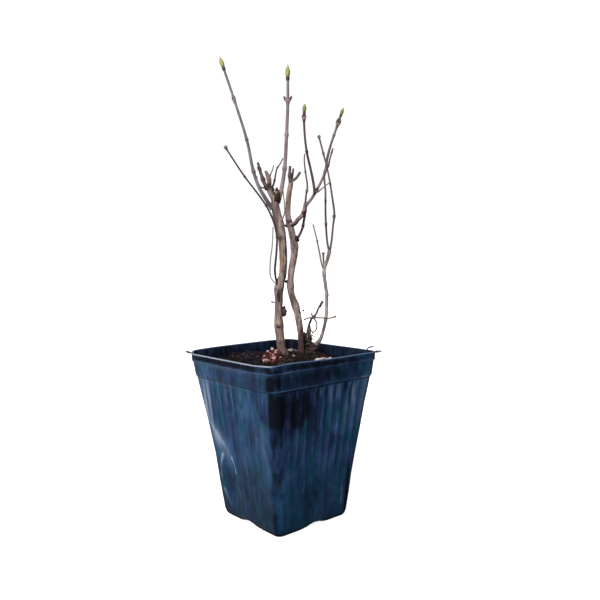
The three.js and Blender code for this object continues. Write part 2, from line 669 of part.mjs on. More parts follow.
// Twig masses: shoots of last year and thin dead twigs, each grown from the limb named in `from`.
const shoots = {
  tall_left_shoot: {
    from: "left_stem",
    path: [
      [-6.6, 6.4, 261, 4],
      [-12, 4.6, 269.6, 3.4],
      [-17.3, 3.4, 279.2, 3.1],
      [-22, 4, 293.2, 2.9],
      [-26.7, 7, 317.7, 2.7],
      [-37.1, 10, 352.9, 2.4],
      [-45.8, 12, 380.2, 2.2],
    ],
    nodes: [0.28, 0.5, 0.785],
    budScale: 0.6,
    tipBud: { length: 12.4, width: 4.6 },
    seed: 3,
  },
  tall_middle_shoot: {
    from: "left_stem",
    path: [
      [-1.8, 7, 266, 4],
      [1, 8, 276, 3.6],
      [4.2, 11, 295, 3.1],
      [6.3, 13, 322.4, 2.9],
      [7.9, 13, 352, 2.6],
      [8.2, 14, 371.8, 2.3],
    ],
    nodes: [0.27, 0.53, 0.81],
    budSizes: [0.5, 0.55, 1.35],
    tipBud: { length: 13.6, width: 5.2 },
    seed: 7,
  },
  low_left_twig: {
    from: "left_stem",
    path: [
      [-3.6, 8, 196, 2],
      [-4.8, 3.6, 208, 1.9],
      [-3, 1.6, 224, 1.9],
      [-2.6, 1, 240, 1.8],
      [-9.4, -3, 259.6, 1.6],
      [-29.8, -14, 289, 1.4],
      [-42.4, -20, 309, 1.3],
    ],
    nodes: [0.33, 0.55, 0.78, 0.985],
    budScale: 0.35,
    seed: 19,
    sides: 5,
  },
  left_hair_twig: {
    from: "left_stem",
    path: [
      [-3.6, 10, 196, 1.2],
      [-9, 8, 203, 1.1],
      [-9.3, 8, 216, 1],
      [-7.4, 8.4, 230, 1],
      [-6.4, 8.6, 246, 0.9],
    ],
    sides: 4,
  },
  right_hair_twig: {
    from: "left_stem",
    path: [
      [0.6, 6, 250, 1.2],
      [3.6, 2.6, 257, 1.1],
      [3.8, 2, 264, 1],
      [2.7, 3, 276.6, 0.8],
    ],
    sides: 4,
  },
  fork_outer_twigs: {
    from: "fork_bough",
    path: [
      [-7.8, 6, 276, 3.4],
      [-12.2, 7, 281.4, 3.3],
      [-14.9, 9, 288.3, 3],
      [-16.3, 10, 292.7, 2.6],
      [-18.4, 12, 300.8, 2],
    ],
    nodes: [0.16, 0.45, 0.78],
    budScale: 0.6,
    seed: 23,
    twigs: [
      [[-11.2, 7, 279, 1.3], [-15.9, 8.6, 279.6, 1.2], [-18.6, 8.4, 283.6, 1.1], [-19.5, 8, 289, 1]],
      [[-16.6, 10.4, 294, 1.2], [-19, 9.4, 296.4, 1.1]],
    ],
  },
  fork_inner_twig: {
    from: "fork_bough",
    path: [
      [-7.6, 6, 276.6, 1.8],
      [-5, 9, 283, 1.6],
      [-3.8, 11, 288.8, 1.4],
      [-2.3, 13, 295.8, 1.3],
      [-0.1, 16, 299.4, 1.1],
      [2.9, 18, 305, 1],
    ],
    nodes: [0.3, 0.68],
    budScale: 0.4,
    seed: 29,
    sides: 5,
  },
  fork_front_hair: {
    from: "fork_bough",
    path: [
      [-8.6, 3.6, 286, 1.2],
      [-7.3, 0.6, 289.4, 1.1],
      [-5.2, -1.4, 294, 1],
      [-4.7, -2, 296.4, 0.9],
    ],
    sides: 4,
  },
  middle_prongs: {
    from: "middle_stem",
    path: [
      [9.3, 7, 281.5, 3.5],
      [8.6, 5, 289, 2.6],
      [9, 4, 296.4, 2.3],
    ],
    nodes: [0.5],
    budScale: 0.5,
    seed: 31,
    twigs: [
      [[9.4, 7, 283.6, 2.4], [10.6, 8, 288, 2], [11.8, 9, 295, 1.6]],
      [[9.3, 6.4, 284, 2.8], [11.8, 5, 285, 2.5], [14.2, 4, 286.6, 2.2], [17.4, 2, 291, 2]],
    ],
  },
  link_twig: {
    from: "middle_stem",
    path: [
      [12.4, 12.6, 234, 1.8],
      [16.4, 13.4, 239.6, 1.7],
      [19, 13, 246, 1.6],
      [20.4, 11.4, 253.4, 1.6],
    ],
    nodes: [0.55],
    budScale: 0.4,
    seed: 37,
    sides: 5,
  },
  thin_left_shoot: {
    from: "cross_bough",
    path: [
      [21.2, 3, 263, 1.8],
      [22, 0, 271, 1.6],
      [23.2, -1.6, 279, 1.5],
      [21.8, -4.6, 290, 1.3],
      [21, -7, 298.5, 1.2],
      [21.2, -8, 304.6, 1],
    ],
    nodes: [0.28, 0.66],
    budScale: 0.5,
    seed: 41,
    sides: 5,
  },
  dark_shoot: {
    from: "right_bough",
    path: [
      [29.4, 2.2, 273, 2.6],
      [28.7, 5, 281, 2.3],
      [26.2, 9, 295, 2.1],
      [23.5, 12, 308.3, 2.1],
      [22, 15, 322.4, 1.9],
      [21.5, 17.6, 337, 2],
      [21.8, 18.6, 343, 1.9],
    ],
    nodes: [0.47, 0.93],
    budScale: 0.7,
    tipBud: { length: 10.4, width: 3.9 },
    seed: 43,
  },
  right_shoot: {
    from: "right_bough",
    path: [
      [39, -1.8, 293.6, 2.3],
      [40, -3, 301, 2.2],
      [43, -4, 312, 2],
      [46.3, -6, 321.4, 2],
      [49, -8, 328.5, 2],
      [51.4, -9, 335.2, 1.8],
    ],
    nodes: [0.62, 0.8],
    budSizes: [0.4, 0.9],
    tipBud: { length: 7.6, width: 3.4 },
    seed: 47,
  },
  bough_spur_twig: {
    from: "right_bough",
    path: [
      [29.4, 2, 274.4, 1.4],
      [32.7, -1, 274.9, 1.3],
      [36.4, -3, 277.4, 1.1],
      [40.8, -6, 280.7, 0.9],
    ],
    sides: 4,
  },
  front_whip: {
    from: "right_stem",
    path: [
      [42.2, 30, 224, 2],
      [40.4, 28, 233.6, 1.8],
      [39.2, 25, 254, 1.8],
      [39.2, 22, 276, 1.7],
      [38.6, 19.6, 292, 1.7],
      [41.8, 18, 297.6, 1.6],
      [43, 16.6, 303, 1.5],
      [45.8, 15, 312.4, 1.4],
    ],
    nodes: [0.27, 0.5, 0.74, 0.96],
    budScale: 0.45,
    seed: 53,
  },
  back_whip: {
    from: "right_stem",
    path: [
      [42.6, 30, 224.4, 2],
      [44.4, 30.4, 234, 1.8],
      [46, 31, 248, 1.8],
      [47.2, 31.4, 257, 1.9],
      [45.4, 33, 274, 1.7],
      [42.6, 35, 293, 1.6],
      [38.8, 37, 310, 1.6],
      [34.6, 38, 327, 1.6],
    ],
    nodes: [0.3, 0.58, 0.84, 0.985],
    budScale: 0.45,
    seed: 59,
  },
  right_side_twig: {
    from: "right_stem",
    path: [
      [37.2, 28, 208.4, 1.7],
      [35, 25.4, 214.6, 1.5],
      [33.4, 24, 223.3, 1.4],
      [31.2, 21.6, 234.6, 1.2],
      [27.9, 16, 248, 1],
    ],
    nodes: [0.62],
    budScale: 0.45,
    seed: 61,
    sides: 5,
  },
  right_side_stub: {
    from: "right_stem",
    path: [
      [37.6, 28.4, 211, 1.7],
      [37, 29.6, 217, 1.5],
      [36.9, 30.6, 223.4, 1.9],
    ],
    sides: 5,
  },
  stump_twigs: {
    from: "dead_stump",
    path: [
      [25.4, 30, 164.6, 2.1],
      [29.4, 29, 168.8, 1.8],
      [32, 27, 174.7, 1.8],
      [35.2, 25, 179.9, 1.9],
    ],
    nodes: [0.2, 0.93],
    twigs: [
      [[26.4, 29.8, 166, 1.5], [34.1, 26, 166, 1.3], [41.4, 23.6, 165.8, 1.2], [46.5, 22, 167.2, 1.3]],
      [[26.6, 30, 166, 1.4], [22.4, 31.6, 165.4, 1.2], [18.7, 32.6, 163.6, 1.1]],
      [[26.6, 30, 166, 1.5], [25.6, 30.4, 170, 1.1]],
      [[27.2, 30.4, 166.4, 1.3], [30, 32, 161, 1.2], [29.8, 33.4, 155, 1.1], [26.4, 34, 151.6, 1.1]],
    ],
  },
};

// An old scar, wound or stub that stands out of a stem.
function knotSolid({ at, size }) {
  const geometry = new THREE.IcosahedronGeometry(1, 0);
  geometry.scale(...size);
  geometry.translate(...at);
  return solidOf(geometry);
}

function stemSolid(stem, grow = 0) {
  const parts = [limbSolid(stem, grow)];
  for (const { at, size } of stem.knots ?? []) {
    parts.push(knotSolid({ at, size: size.map((half) => half + grow) }));
  }
  return joined(parts);
}

// Everything under the flat cut at ground level.
function belowGround() {
  const block = new THREE.BoxGeometry(RIM_SIDE, RIM_SIDE, 20);
  block.translate(0, 0, GROUND - 10);
  return solidOf(block);
}

// The limbs that each stem or bough springs from or stands against.
const STEM_NEIGHBOURS = {
  left_stem: [],
  middle_stem: ["left_stem"],
  dead_stump: ["middle_stem"],
  right_stem: ["dead_stump"],
  fork_bough: ["left_stem"],
  cross_bough: ["middle_stem"],
  right_bough: ["cross_bough"],
};

const bush = new THREE.Group();
const plant = new THREE.Group();
plant.rotation.z = PLANT_TURN;
bush.add(plant);

function addMesh(group, name, solid, material) {
  const mesh = new THREE.Mesh(geometryOf(solid), material);
  mesh.name = name;
  group.add(mesh);
}

// Stems and boughs, each cut to stand clear of the limbs that it meets.
const earth = belowGround();
for (const [name, neighbours] of Object.entries(STEM_NEIGHBOURS)) {
  let solid = stemSolid(stems[name]).subtract(earth);
  for (const neighbour of neighbours) solid = solid.subtract(stemSolid(stems[neighbour], CLEARANCE));
  const material = name === "dead_stump" ? materials.deadWood : materials.bark;
  addMesh(plant, name, largestBody(solid), material);
}

// Twig masses, each cut clear of every limb and of the masses before it that spring from its own.
const limbSpace = joined(Object.values(stems).map((stem) => stemSolid(stem, CLEARANCE)));
const placed = [];
for (const [name, shoot] of Object.entries(shoots)) {
  let solid = shootSolid(shoot).subtract(limbSpace);
  for (const neighbour of placed.filter(({ from }) => from === shoot.from)) {
    solid = solid.subtract(shootSolid(neighbour, CLEARANCE));
  }
  placed.push(shoot);
  addMesh(plant, name, largestBody(solid), materials.twig);
}

// The stems' feet stand in pockets of the soil.
const overGround = new THREE.BoxGeometry(RIM_SIDE, RIM_SIDE, 60).translate(0, 0, GROUND - CLEARANCE + 30);
const pockets = geometryOf(limbSpace.intersect(solidOf(overGround)));
const toPot = new THREE.Matrix4().makeRotationZ(PLANT_TURN);
const soil = largestBody(soilSolid().subtract(solidOf(pockets, toPot)));
addMesh(bush, "soil", soil, materials.soil);
addMesh(bush, "pot", potSolid(), materials.pot);

// What lies on the soil rests in it by its own weight, clear of it by the usual gap.
const toPlant = toPot.clone().invert();
const raisedSoil = solidOf(geometryOf(soil).translate(0, 0, CLEARANCE), toPlant);
const heapSpace = limbSpace.add(stemSolid(stems.left_stem, 2 * CLEARANCE));
const heap = chipHeapSolid().subtract(heapSpace).subtract(raisedSoil);
addMesh(plant, "bark_heap", largestBody(heap), materials.chips);
addMesh(plant, "wood_splinter", largestBody(splinterSolid().subtract(raisedSoil)), materials.splinter);

export default bush;
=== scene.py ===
"""A young lilac in early spring, bare but for its buds, in a square fluted nursery pot: its looks.

Sizes are millimetres until a mesh is made, in the pot's frame: its sides run along X and Y, +Z is up.
Limbs are written in the plant's own frame, which is turned about the pot's axis.
"""
import itertools
import math

import bpy
import numpy as np
from mathutils import Matrix


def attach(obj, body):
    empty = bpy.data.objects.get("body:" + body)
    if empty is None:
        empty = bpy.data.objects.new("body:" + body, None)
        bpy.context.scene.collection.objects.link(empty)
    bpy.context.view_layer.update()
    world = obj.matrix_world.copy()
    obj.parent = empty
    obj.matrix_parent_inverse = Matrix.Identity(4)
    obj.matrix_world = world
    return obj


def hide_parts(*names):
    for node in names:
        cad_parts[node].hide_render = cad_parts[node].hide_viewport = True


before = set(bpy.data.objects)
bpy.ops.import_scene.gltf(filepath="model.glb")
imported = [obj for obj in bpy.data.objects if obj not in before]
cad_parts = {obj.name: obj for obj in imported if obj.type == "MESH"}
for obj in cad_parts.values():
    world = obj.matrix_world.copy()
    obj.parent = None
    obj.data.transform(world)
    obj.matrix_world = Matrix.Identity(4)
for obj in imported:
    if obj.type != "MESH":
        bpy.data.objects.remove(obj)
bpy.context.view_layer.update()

MM = 0.001
GOLDEN_ANGLE = 2.4

# The pot. Its ribs fade sooner than the solids', the arches between its feet are wider, the torn ends are
# shorter, and the rim also lifts at the back, sags on the left and waves on the right.
RIM_HALF = 57.5
POT_HEIGHT = 140.0
WALL = 0.9
RIM_THICKNESS = 0.8
LIP_DEPTH = 6.6
COLLAR_DEPTH = 20.6
LEDGE = POT_HEIGHT - COLLAR_DEPTH
FLOOR_TOP = 4.4
RIBS = 9
RIBBED_SHARE = 0.78
RIB_DEPTH = 0.9
ARCH_HALF = 16.0
ARCH_CROWN_HALF = 0.5
ARCH_HEIGHT = 3.4
RIM_BOW_X = 0.5
RIM_BOW_Y = 1.3
RIM_BACK_LIFT = 0.95
RIM_LEFT_SAG = 0.85
RIM_RIGHT_LIFT = 1.0
DRAIN_HOLE_RADIUS = 4.0
DRAIN_HOLE_OFFSET = 21.0
EAR_REACH = 84.0
EAR_WIDTH = 9.0
EAR_ROOT = 7.4
EAR_HALF_THICKNESS = 0.29
STRIP_CORNERS = ((-1, -1), (1, -1), (1, 1), (-1, 1))
RIM_RINGS = 19  # above the ledge, with the outside's tone
# The tone of the inside walls: painted shade.
INSIDE_SHADE = -0.62

# The torn strip that curls up from the rim: its points and thickness.
TORN_STRIP = ((56.4, -45.4, 139.6, 0.5), (56.4, -45.7, 141.3, 0.5), (56.4, -48, 142.6, 1.1),
              (56.4, -50.6, 143.3, 1.2), (56.4, -53, 143.7, 0.4))

# The taper below the ledge: height, half the side, corner radius, share of the ribs' depth.
POT_TAPER = np.array([
    (0, 36.4, 5, 0),
    (1.5, 37.8, 6, 0),
    (5, 39.1, 7, 0),
    (20, 41.1, 8, 0.05),
    (36, 42.9, 8.5, 0.15),
    (54, 45.4, 9, 0.35),
    (75, 48.4, 9, 0.65),
    (97, 51.2, 8.5, 1),
    (118.3, 54.2, 7.3, 1),
])

# Where the thin left wall is pushed in: centre along the face and up it, half length and width, lean, depth.
DENTS = ((28, 62, 26, 8, 35, 2.0), (15, 25, 16, 6, 12, 1.4), (46, 55, 14, 8, 8, 1.3))
DENT_FADE = 16

# Folds of the left wall: points along the face and up it, half width, how far each stands out, how pale. The
# paleness is a painted highlight where each fold catches the light.
FOLDS = (
    (((47, 116), (44, 96), (39.4, 80), (31, 68)), 6.5, 0.1, 0.26),
    (((44, 94), (41.4, 84), (37, 75.6), (32, 68)), 1.8, 0.2, 0.2),
    (((32, 68), (28, 63.5), (24, 59.6), (20.5, 56.6)), 10, 0.5, 0.4),
    (((27, 67), (20, 61), (16.6, 57.6), (13.2, 54.4)), 2.0, 0.4, 0.2),
    (((36, 76), (28, 69), (22.5, 66)), 2.0, 0.3, 0.16),
    (((13.2, 54.4), (11.6, 49), (10.6, 42.5)), 1.3, 0.6, 0.7),
    (((10.6, 42.5), (11, 34), (11.2, 28)), 1.4, 0.4, 0.22),
    (((27.8, 54.6), (30.6, 45), (31.8, 35)), 1.6, 0.5, 0.6),
    (((32, 31), (28.5, 22)), 4.6, 0.3, 0.3),
    (((29, 24), (25.6, 17.5), (22.9, 12.5)), 2.0, 0.5, 0.55),
    (((-39, 110), (-36, 96), (-34.2, 76), (-35.4, 58), (-36.6, 42), (-36, 30)), 3.8, 0.6, 0.2),
    (((-27, 90), (-25, 66), (-26, 40)), 2.0, 0.3, 0.1),
)

# Painted light and shade on the right wall: dark reflections, shade on the collar, under the lip, between the
# ribs and low on the wall, and highlights on the ribs. Each mark: centre along the wall and up it, half width
# and height, tone from
# -1, black, to 1, pale.
RIGHT_WALL_PAINTED_LIGHT = (
    (-34, 104, 26, 20, -0.45),
    (-46.5, 105, 9.5, 17, -0.95),
    (-46, 86, 6, 14, -0.6),
    (-30.6, 102, 3.8, 18, -0.95),
    (-20, 105, 3.8, 14, -0.9),
    (-45, 66, 4.5, 16, -0.4),
    (-42, 48, 5, 10, -0.5),
    (-9, 25, 12, 9, -0.3),
    (13, 26, 6, 7, -0.3),
    (12, 72, 4, 7, -0.4),
    (33.5, 22, 2.2, 24, -0.9),
    (-53, 128, 6.5, 11, -0.75),
    (-8, 127, 46, 8, -0.58),
    (-6, 136.6, 56, 2.6, -0.8),
    (57, 136, 2.4, 4, -0.95),
    (0, 10, 70, 34, -0.2),
    (44, 104, 8, 24, 0.2),
    (-8.8, 113, 1.5, 5, -0.6),
    (0.8, 113.5, 1.6, 5, -0.6),
    (9.5, 112, 1.5, 6, -0.5),
    (23, 115, 2, 4, -0.5),
    (27.3, 109, 1.5, 8, -0.5),
    (-35.2, 103, 0.9, 17, 0.3),
    (-24.6, 99, 1.1, 19, 0.36),
    (-13.4, 110, 2, 8, 0.2),
    (-4.4, 114, 1.8, 5, 0.2),
    (5.6, 112, 1.7, 8, 0.2),
    (14.3, 113, 2.6, 7, 0.25),
    (32, 108, 2.2, 12, 0.45),
    (30, 93, 10, 14, 0.12),
    (27.5, 20, 1, 11, 0.3),
)

# Painted light and shade on the left wall, in the same way: highlights on the ribs, and shade under the lip,
# on the collar and wall near the front corner, and low on the wall.
LEFT_WALL_PAINTED_LIGHT = (
    (36, 101, 2.3, 20, 0.55),
    (42, 104, 1.6, 16, 0.42),
    (28.4, 104, 1.4, 13, 0.2),
    (19.4, 110, 1.5, 10, 0.3),
    (9.2, 110, 1.5, 10, 0.25),
    (1, 109, 1.5, 11, 0.3),
    (-11, 111, 1.5, 6, 0.2),
    (-22, 115, 1.5, 4, 0.15),
    (5, 137, 64, 2.6, -0.95),
    (-18, 122, 16, 3, -0.2),
    (-45, 126, 17, 9, -0.42),
    (-42, 106, 12, 13, -0.26),
    (0, 12, 70, 44, -0.42),
    (33, 6, 5, 5, -0.5),
)

# The soil.
SOIL_EDGE = 132.4
SOIL_HALF = 54.2
SOIL_TILT = -0.026
MOUND_X, MOUND_Y, MOUND_HEIGHT, MOUND_SPREAD = 8, 18, 2.6, 22
HEAP_X, HEAP_Y, HEAP_REACH_X, HEAP_REACH_Y = -8.4, 0, 8.6, 22
HEAP_HEIGHT, HEAP_LEAN, HEAP_CHIPS = 3.4, 2.4, 330
SPLINTER_FROM, SPLINTER_TO, SPLINTER_WIDTH = (28.4, -8.6), (42, 3), 4.4

# Crumbs and flakes by the splinter: place in the plant's frame, size, flatness, lift and slot.
SPLINTER_CRUMBS = (
    ((40.6, 2), 1.7, 0.8, 1.7, 0), ((39, 0.8), 1.1, 0.8, 1.4, 0), ((29.8, -7.4), 1.3, 0.8, 1, 0),
    ((33, 9), 3, 0.4, 1.2, 1), ((37, 11), 2.8, 0.4, 1.2, 1), ((29, 5), 2.4, 0.4, 1.2, 1),
    ((35, 6), 2.2, 0.4, 1.2, 1),
)

# How far the plant's frame is turned about the pot's axis.
PLANT_TURN = math.radians(-40.5)

# Shoots, as in the solids.
BUD_LENGTH = 3.0
BUD_WIDTH = 1.7
BUD_SPREAD = math.radians(32)
NODE_SWELLING = 1.35
SPUR_CHANCE = 0.15
SPUR_LENGTH = 1.7  # of a bud's
TIP_BUD_SINK = 0.15


# ---------------------------------------------------------------- numbers

def seeded(seed):
    """The solids' repeatable run of numbers from 0 to 1."""
    state = seed
    while True:
        state = (state * 1664525 + 1013904223) % 4294967296
        yield state / 4294967296


def smoothstep(low, high, value):
    t = np.clip((value - low) / (high - low), 0, 1)
    return t * t * (3 - 2 * t)


def lattice(cell, seed):
    """A repeatable number from 0 to 1 for each whole-number cell."""
    mask = 0xFFFFFFFF
    n = (cell[:, 0] * 374761393 + cell[:, 1] * 668265263 + cell[:, 2] * 1440662683 + seed * 974634777) & mask
    n = ((n ^ (n >> 13)) * 1274126177) & mask
    return ((n ^ (n >> 16)) & 0xFFFF) / 65535.0


def noise(points, seed=0):
    """Smooth noise from -1 to 1 at each point, with lumps one unit across."""
    cell = np.floor(points).astype(np.int64)
    t = points - cell
    t = t * t * (3 - 2 * t)
    total = np.zeros(len(points))
    for corner in itertools.product((0, 1), repeat=3):
        weight = np.prod(np.where(corner, t, 1 - t), axis=1)
        total += weight * lattice(cell + np.array(corner), seed)
    return 2 * total - 1


def unit(vector):
    return vector / np.linalg.norm(vector)


def circle(count):
    """Angles at even steps round a full turn."""
    return np.linspace(0, 2 * math.pi, count, endpoint=False)


def near_line(places, line):
    """How far each flat place lies from a line through points."""
    line = np.array(line, float)
    nearest = np.full(len(places), 1e9)
    for a, b in zip(line[:-1], line[1:]):
        share = np.clip((places - a) @ (b - a) / ((b - a) @ (b - a)), 0, 1)
        nearest = np.minimum(nearest, np.linalg.norm(places - a - share[:, None] * (b - a), axis=1))
    return nearest


def turned(points, angle):
    """Points turned about the pot's axis."""
    c, s = math.cos(angle), math.sin(angle)
    points = np.asarray(points, float)
    return points @ np.array([(c, s, 0), (-s, c, 0), (0, 0, 1)])


# ---------------------------------------------------------------- meshes

class Mesh:
    """Vertices and faces gathered from many small shapes, in millimetres, each face with its material.

    Each vertex has two numbers for its material: its tone, and how far its colour turns to another one.
    """

    def __init__(self):
        self.vertices = []
        self.faces = []
        self.slots = []
        self.numbers = {"tone": [], "turn": []}
        self.count = 0

    def add(self, vertices, faces, slot=0, tone=0.0, turn=0.0):
        self.vertices.append(np.asarray(vertices, float))
        self.faces.extend([tuple(self.count + i for i in face) for face in faces])
        self.slots.extend(np.broadcast_to(slot, len(faces)).tolist())
        self.numbers["tone"].append(np.broadcast_to(tone, len(vertices)))
        self.numbers["turn"].append(np.broadcast_to(turn, len(vertices)))
        self.count += len(vertices)

    def loft(self, rings, slot=0, tone=0.0, turn=0.0):
        """A closed skin through rings of equal count, with a fan of faces to a middle point at each end."""
        rings = np.asarray(rings)
        self.add(with_caps(rings), loft_faces(*rings.shape[:2]), slot, tone, turn)

    def build(self, name, materials, turn=0.0, smooth=True):
        vertices = turned(np.concatenate(self.vertices), turn) * MM
        mesh = bpy.data.meshes.new(name)
        mesh.from_pydata(vertices.tolist(), [], self.faces)
        mesh.polygons.foreach_set("material_index", self.slots)
        mesh.polygons.foreach_set("use_smooth", [smooth] * len(self.faces))
        for label, values in self.numbers.items():
            attribute = mesh.attributes.new(label, "FLOAT", "POINT")
            attribute.data.foreach_set("value", np.concatenate(values).astype(np.float32))
        for material in materials:
            mesh.materials.append(material)
        mesh.update()
        return add_object(name, mesh)


def add_object(name, data):
    thing = bpy.data.objects.new(name, data)
    bpy.context.scene.collection.objects.link(thing)
    return thing


def loft_faces(rings, count):
    """Faces through rings of equal count, one after another, with a fan at each end."""
    faces = []
    for ring in range(rings - 1):
        a, b = ring * count, (ring + 1) * count
        faces.extend((a + i, a + (i + 1) % count, b + (i + 1) % count, b + i) for i in range(count))
    foot, head = rings * count, rings * count + 1
    last = (rings - 1) * count
    faces.extend((foot, (i + 1) % count, i) for i in range(count))
    faces.extend((head, last + i, last + (i + 1) % count) for i in range(count))
    return faces


def with_caps(rings):
    """A loft's vertices: its rings, then the middle of the first and of the last."""
    return np.concatenate([rings.reshape(-1, 3), [rings[0].mean(axis=0), rings[-1].mean(axis=0)]])


# ---------------------------------------------------------------- materials

class Nodes:
    """The node tree of a material or a world, built up by short calls."""

    def __init__(self, owner):
        owner.use_nodes = True
        self.nodes = owner.node_tree.nodes
        self.links = owner.node_tree.links

    def fill(self, node, **inputs):
        """Sets or links a node's inputs. An underscore in a name stands for a space."""
        for name, value in inputs.items():
            self.put(node.inputs[name.replace("_", " ")], value)
        return node

    def put(self, target, value):
        if isinstance(value, bpy.types.NodeSocket):
            self.links.new(value, target)
        else:
            target.default_value = value

    def node(self, kind, **inputs):
        return self.fill(self.nodes.new("ShaderNode" + kind), **inputs)

    def span(self, value, low, high, to_low=0.0, to_high=1.0):
        """A number that runs from to_low to to_high as the value runs from low to high."""
        node = self.node("MapRange", Value=value, From_Min=low, From_Max=high, To_Min=to_low, To_Max=to_high)
        return node.outputs["Result"]

    def math(self, how, first, second):
        node = self.node("Math")
        node.operation = how
        self.put(node.inputs[0], first)
        self.put(node.inputs[1], second)
        return node.outputs["Value"]


class Shader(Nodes):
    """A node material."""

    def __init__(self, name):
        self.material = bpy.data.materials.new(name)
        super().__init__(self.material)
        self.surface = self.nodes["Principled BSDF"]
        self.place = self.node("TexCoord").outputs["Object"]

    def stretched(self, scale):
        """The place in the object's own frame, scaled along each axis."""
        return self.node("Mapping", Vector=self.place, Scale=scale).outputs["Vector"]

    def noise(self, scale, detail=3.0, roughness=0.55, stretch=(1, 1, 1), distortion=0.0):
        node = self.node("TexNoise", Vector=self.stretched(stretch), Scale=scale, Detail=detail)
        return self.fill(node, Roughness=roughness, Distortion=distortion).outputs["Fac"]

    def cells(self, scale, stretch):
        """How far each point lies from the middle of its cell."""
        return self.node("TexVoronoi", Vector=self.stretched(stretch), Scale=scale).outputs["Distance"]

    def attribute(self, name):
        node = self.node("Attribute")
        node.attribute_name = name
        return node.outputs["Fac"]

    def height(self):
        return self.node("SeparateXYZ", Vector=self.place).outputs["Z"]

    def ramp(self, value, *stops):
        """A colour for each value: stops of (position, (red, green, blue) as seen on a screen)."""
        node = self.node("ValToRGB", Fac=value)
        elements = node.color_ramp.elements
        while len(elements) < len(stops):
            elements.new(0.5)
        for element, (position, colour) in zip(elements, stops):
            element.position = position
            element.color = screen(colour)
        return node.outputs["Color"]

    def mix(self, share, base, colour):
        """A base colour, turned by a share towards a screen colour."""
        node = self.node("Mix")
        node.data_type = "RGBA"
        return self.fill(node, Factor=share, A=base, B=screen(colour)).outputs["Result"]

    def turn(self, base, colour, value, low, high, most=1.0):
        """A base colour, turned towards a screen colour as the value runs from low to high."""
        return self.mix(self.span(value, low, high, 0.0, most), base, colour)

    def bump(self, height, depth_mm, strength):
        node = self.node("Bump", Height=height, Strength=strength, Distance=depth_mm * MM)
        self.fill(self.surface, Normal=node.outputs["Normal"])

    def finish(self, colour, roughness, specular, **uniform):
        self.fill(self.surface, Base_Color=colour, Roughness=roughness, Specular_IOR_Level=specular)
        self.fill(self.surface, **uniform)
        return self.material


def screen(colour):
    """The linear colour of a screen colour from 0 to 255."""
    share = np.asarray(colour, float) / 255
    linear = np.where(share <= 0.04045, share / 12.92, ((share + 0.055) / 1.055) ** 2.4)
    return (*linear.tolist(), 1.0)


def lighter(colour, step):
    """A screen colour with each of its parts raised by a step."""
    return [min(255, part + step) for part in colour]


def darker(colour, share):
    return [share * part for part in colour]


def pot_plastic():
    """Thin dark navy plastic: cloudy blues, purples and teals, fine rubbed lines, painted shade and
    reflections, and painted highlights on its folds.
    """
    s = Shader("pot_plastic")
    cloud = s.noise(48, detail=5, roughness=0.66, stretch=(1, 1, 0.5), distortion=0.6)
    blues = ((0.30, (20, 35, 62)), (0.42, (34, 61, 100)), (0.53, (46, 79, 122)), (0.66, (68, 103, 147)))
    base = s.ramp(cloud, *blues)
    hue = s.noise(66, detail=3, roughness=0.6, stretch=(1, 1, 0.7))
    purple = s.turn(base, (58, 62, 118), hue, 0.53, 0.66, 0.5)
    teal = s.turn(purple, (14, 84, 106), hue, 0.5, 0.36, 0.7)
    line = s.noise(300, detail=4, roughness=0.7, stretch=(1, 1, 0.1))
    lined = s.turn(teal, (6, 18, 36), line, 0.48, 0.32, 0.5)
    rubbed = s.turn(lined, (92, 132, 168), line, 0.54, 0.72, 0.3)
    grime = s.noise(620, detail=3, roughness=0.7)
    dusty = s.turn(rubbed, (110, 122, 146), grime, 0.56, 0.8, 0.2)
    tone = s.attribute("tone")
    edge = s.span(s.noise(190, detail=4, roughness=0.65, stretch=(1, 1, 0.35)), 0.3, 0.7, -0.2, 0.2)
    ragged = s.math("ADD", tone, s.math("MULTIPLY", edge, s.span(tone, 0.0, -0.3)))
    low = s.turn(dusty, (12, 68, 94), s.height(), 0.075, 0.005, 0.5)
    # The tone paints light and shade: below 0 painted shade and dark reflections, above 0 painted highlights
    # on folds, ribs, ledge and lip, and near 1 the rim's pale edge, partly worn plastic and partly painted
    # highlight.
    painted_shade_and_reflection = s.turn(low, (7, 14, 31), ragged, -0.04, -0.72)
    pale = s.turn(painted_shade_and_reflection, (120, 146, 182), tone, 0.02, 0.6, 0.85)
    colour = s.turn(pale, (184, 194, 212), tone, 0.35, 1.0, 0.92)
    s.bump(s.noise(900, detail=4, roughness=0.65), 0.06, 0.6)
    sheen = s.span(s.noise(70, detail=3), 0.3, 0.75, 0.26, 0.46)
    rough = s.math("ADD", sheen, s.span(tone, -0.3, -0.8, 0.0, 0.35))
    return s.finish(colour, rough, specular=0.2)


def bark(name, dark, middle, light, crack, depth=0.12):
    """Woody bark: patches of tone, dark cracks, pale warts, and places turned to dark red or bare wood; the
    dark red also serves as painted shade along some limbs' sides.
    """
    s = Shader(name)
    patches = s.noise(190, detail=4, roughness=0.65, stretch=(1, 1, 0.3))
    base = s.ramp(patches, (0.34, dark), (0.5, middle), (0.66, light))
    fibre = s.noise(900, detail=4, roughness=0.6, stretch=(1, 1, 0.12))
    fibred = s.turn(base, light, fibre, 0.35, 0.7, 0.45)
    flecked = s.turn(fibred, crack, fibre, 0.45, 0.28, 0.5)
    turn = s.attribute("turn")
    tan = s.turn(flecked, BARE_WOOD_AND_PAINTED_LIGHT, turn, 0.05, 1.0, 0.85)
    red = s.turn(tan, DARK_RED_AND_PAINTED_SHADE, turn, -0.03, -0.8, 0.92)
    cracked = s.turn(red, crack, s.attribute("tone"), 0.15, 1.0, 0.85)
    warts = s.span(s.cells(520, stretch=(1, 1, 0.5)), 0.2, 0.08)
    colour = s.mix(s.math("MULTIPLY", warts, 0.35), cracked, lighter(light, 24))
    s.bump(s.noise(1400, detail=5, roughness=0.65, stretch=(1, 1, 0.25)), depth, 0.8)
    return s.finish(colour, 0.82, specular=0.22)


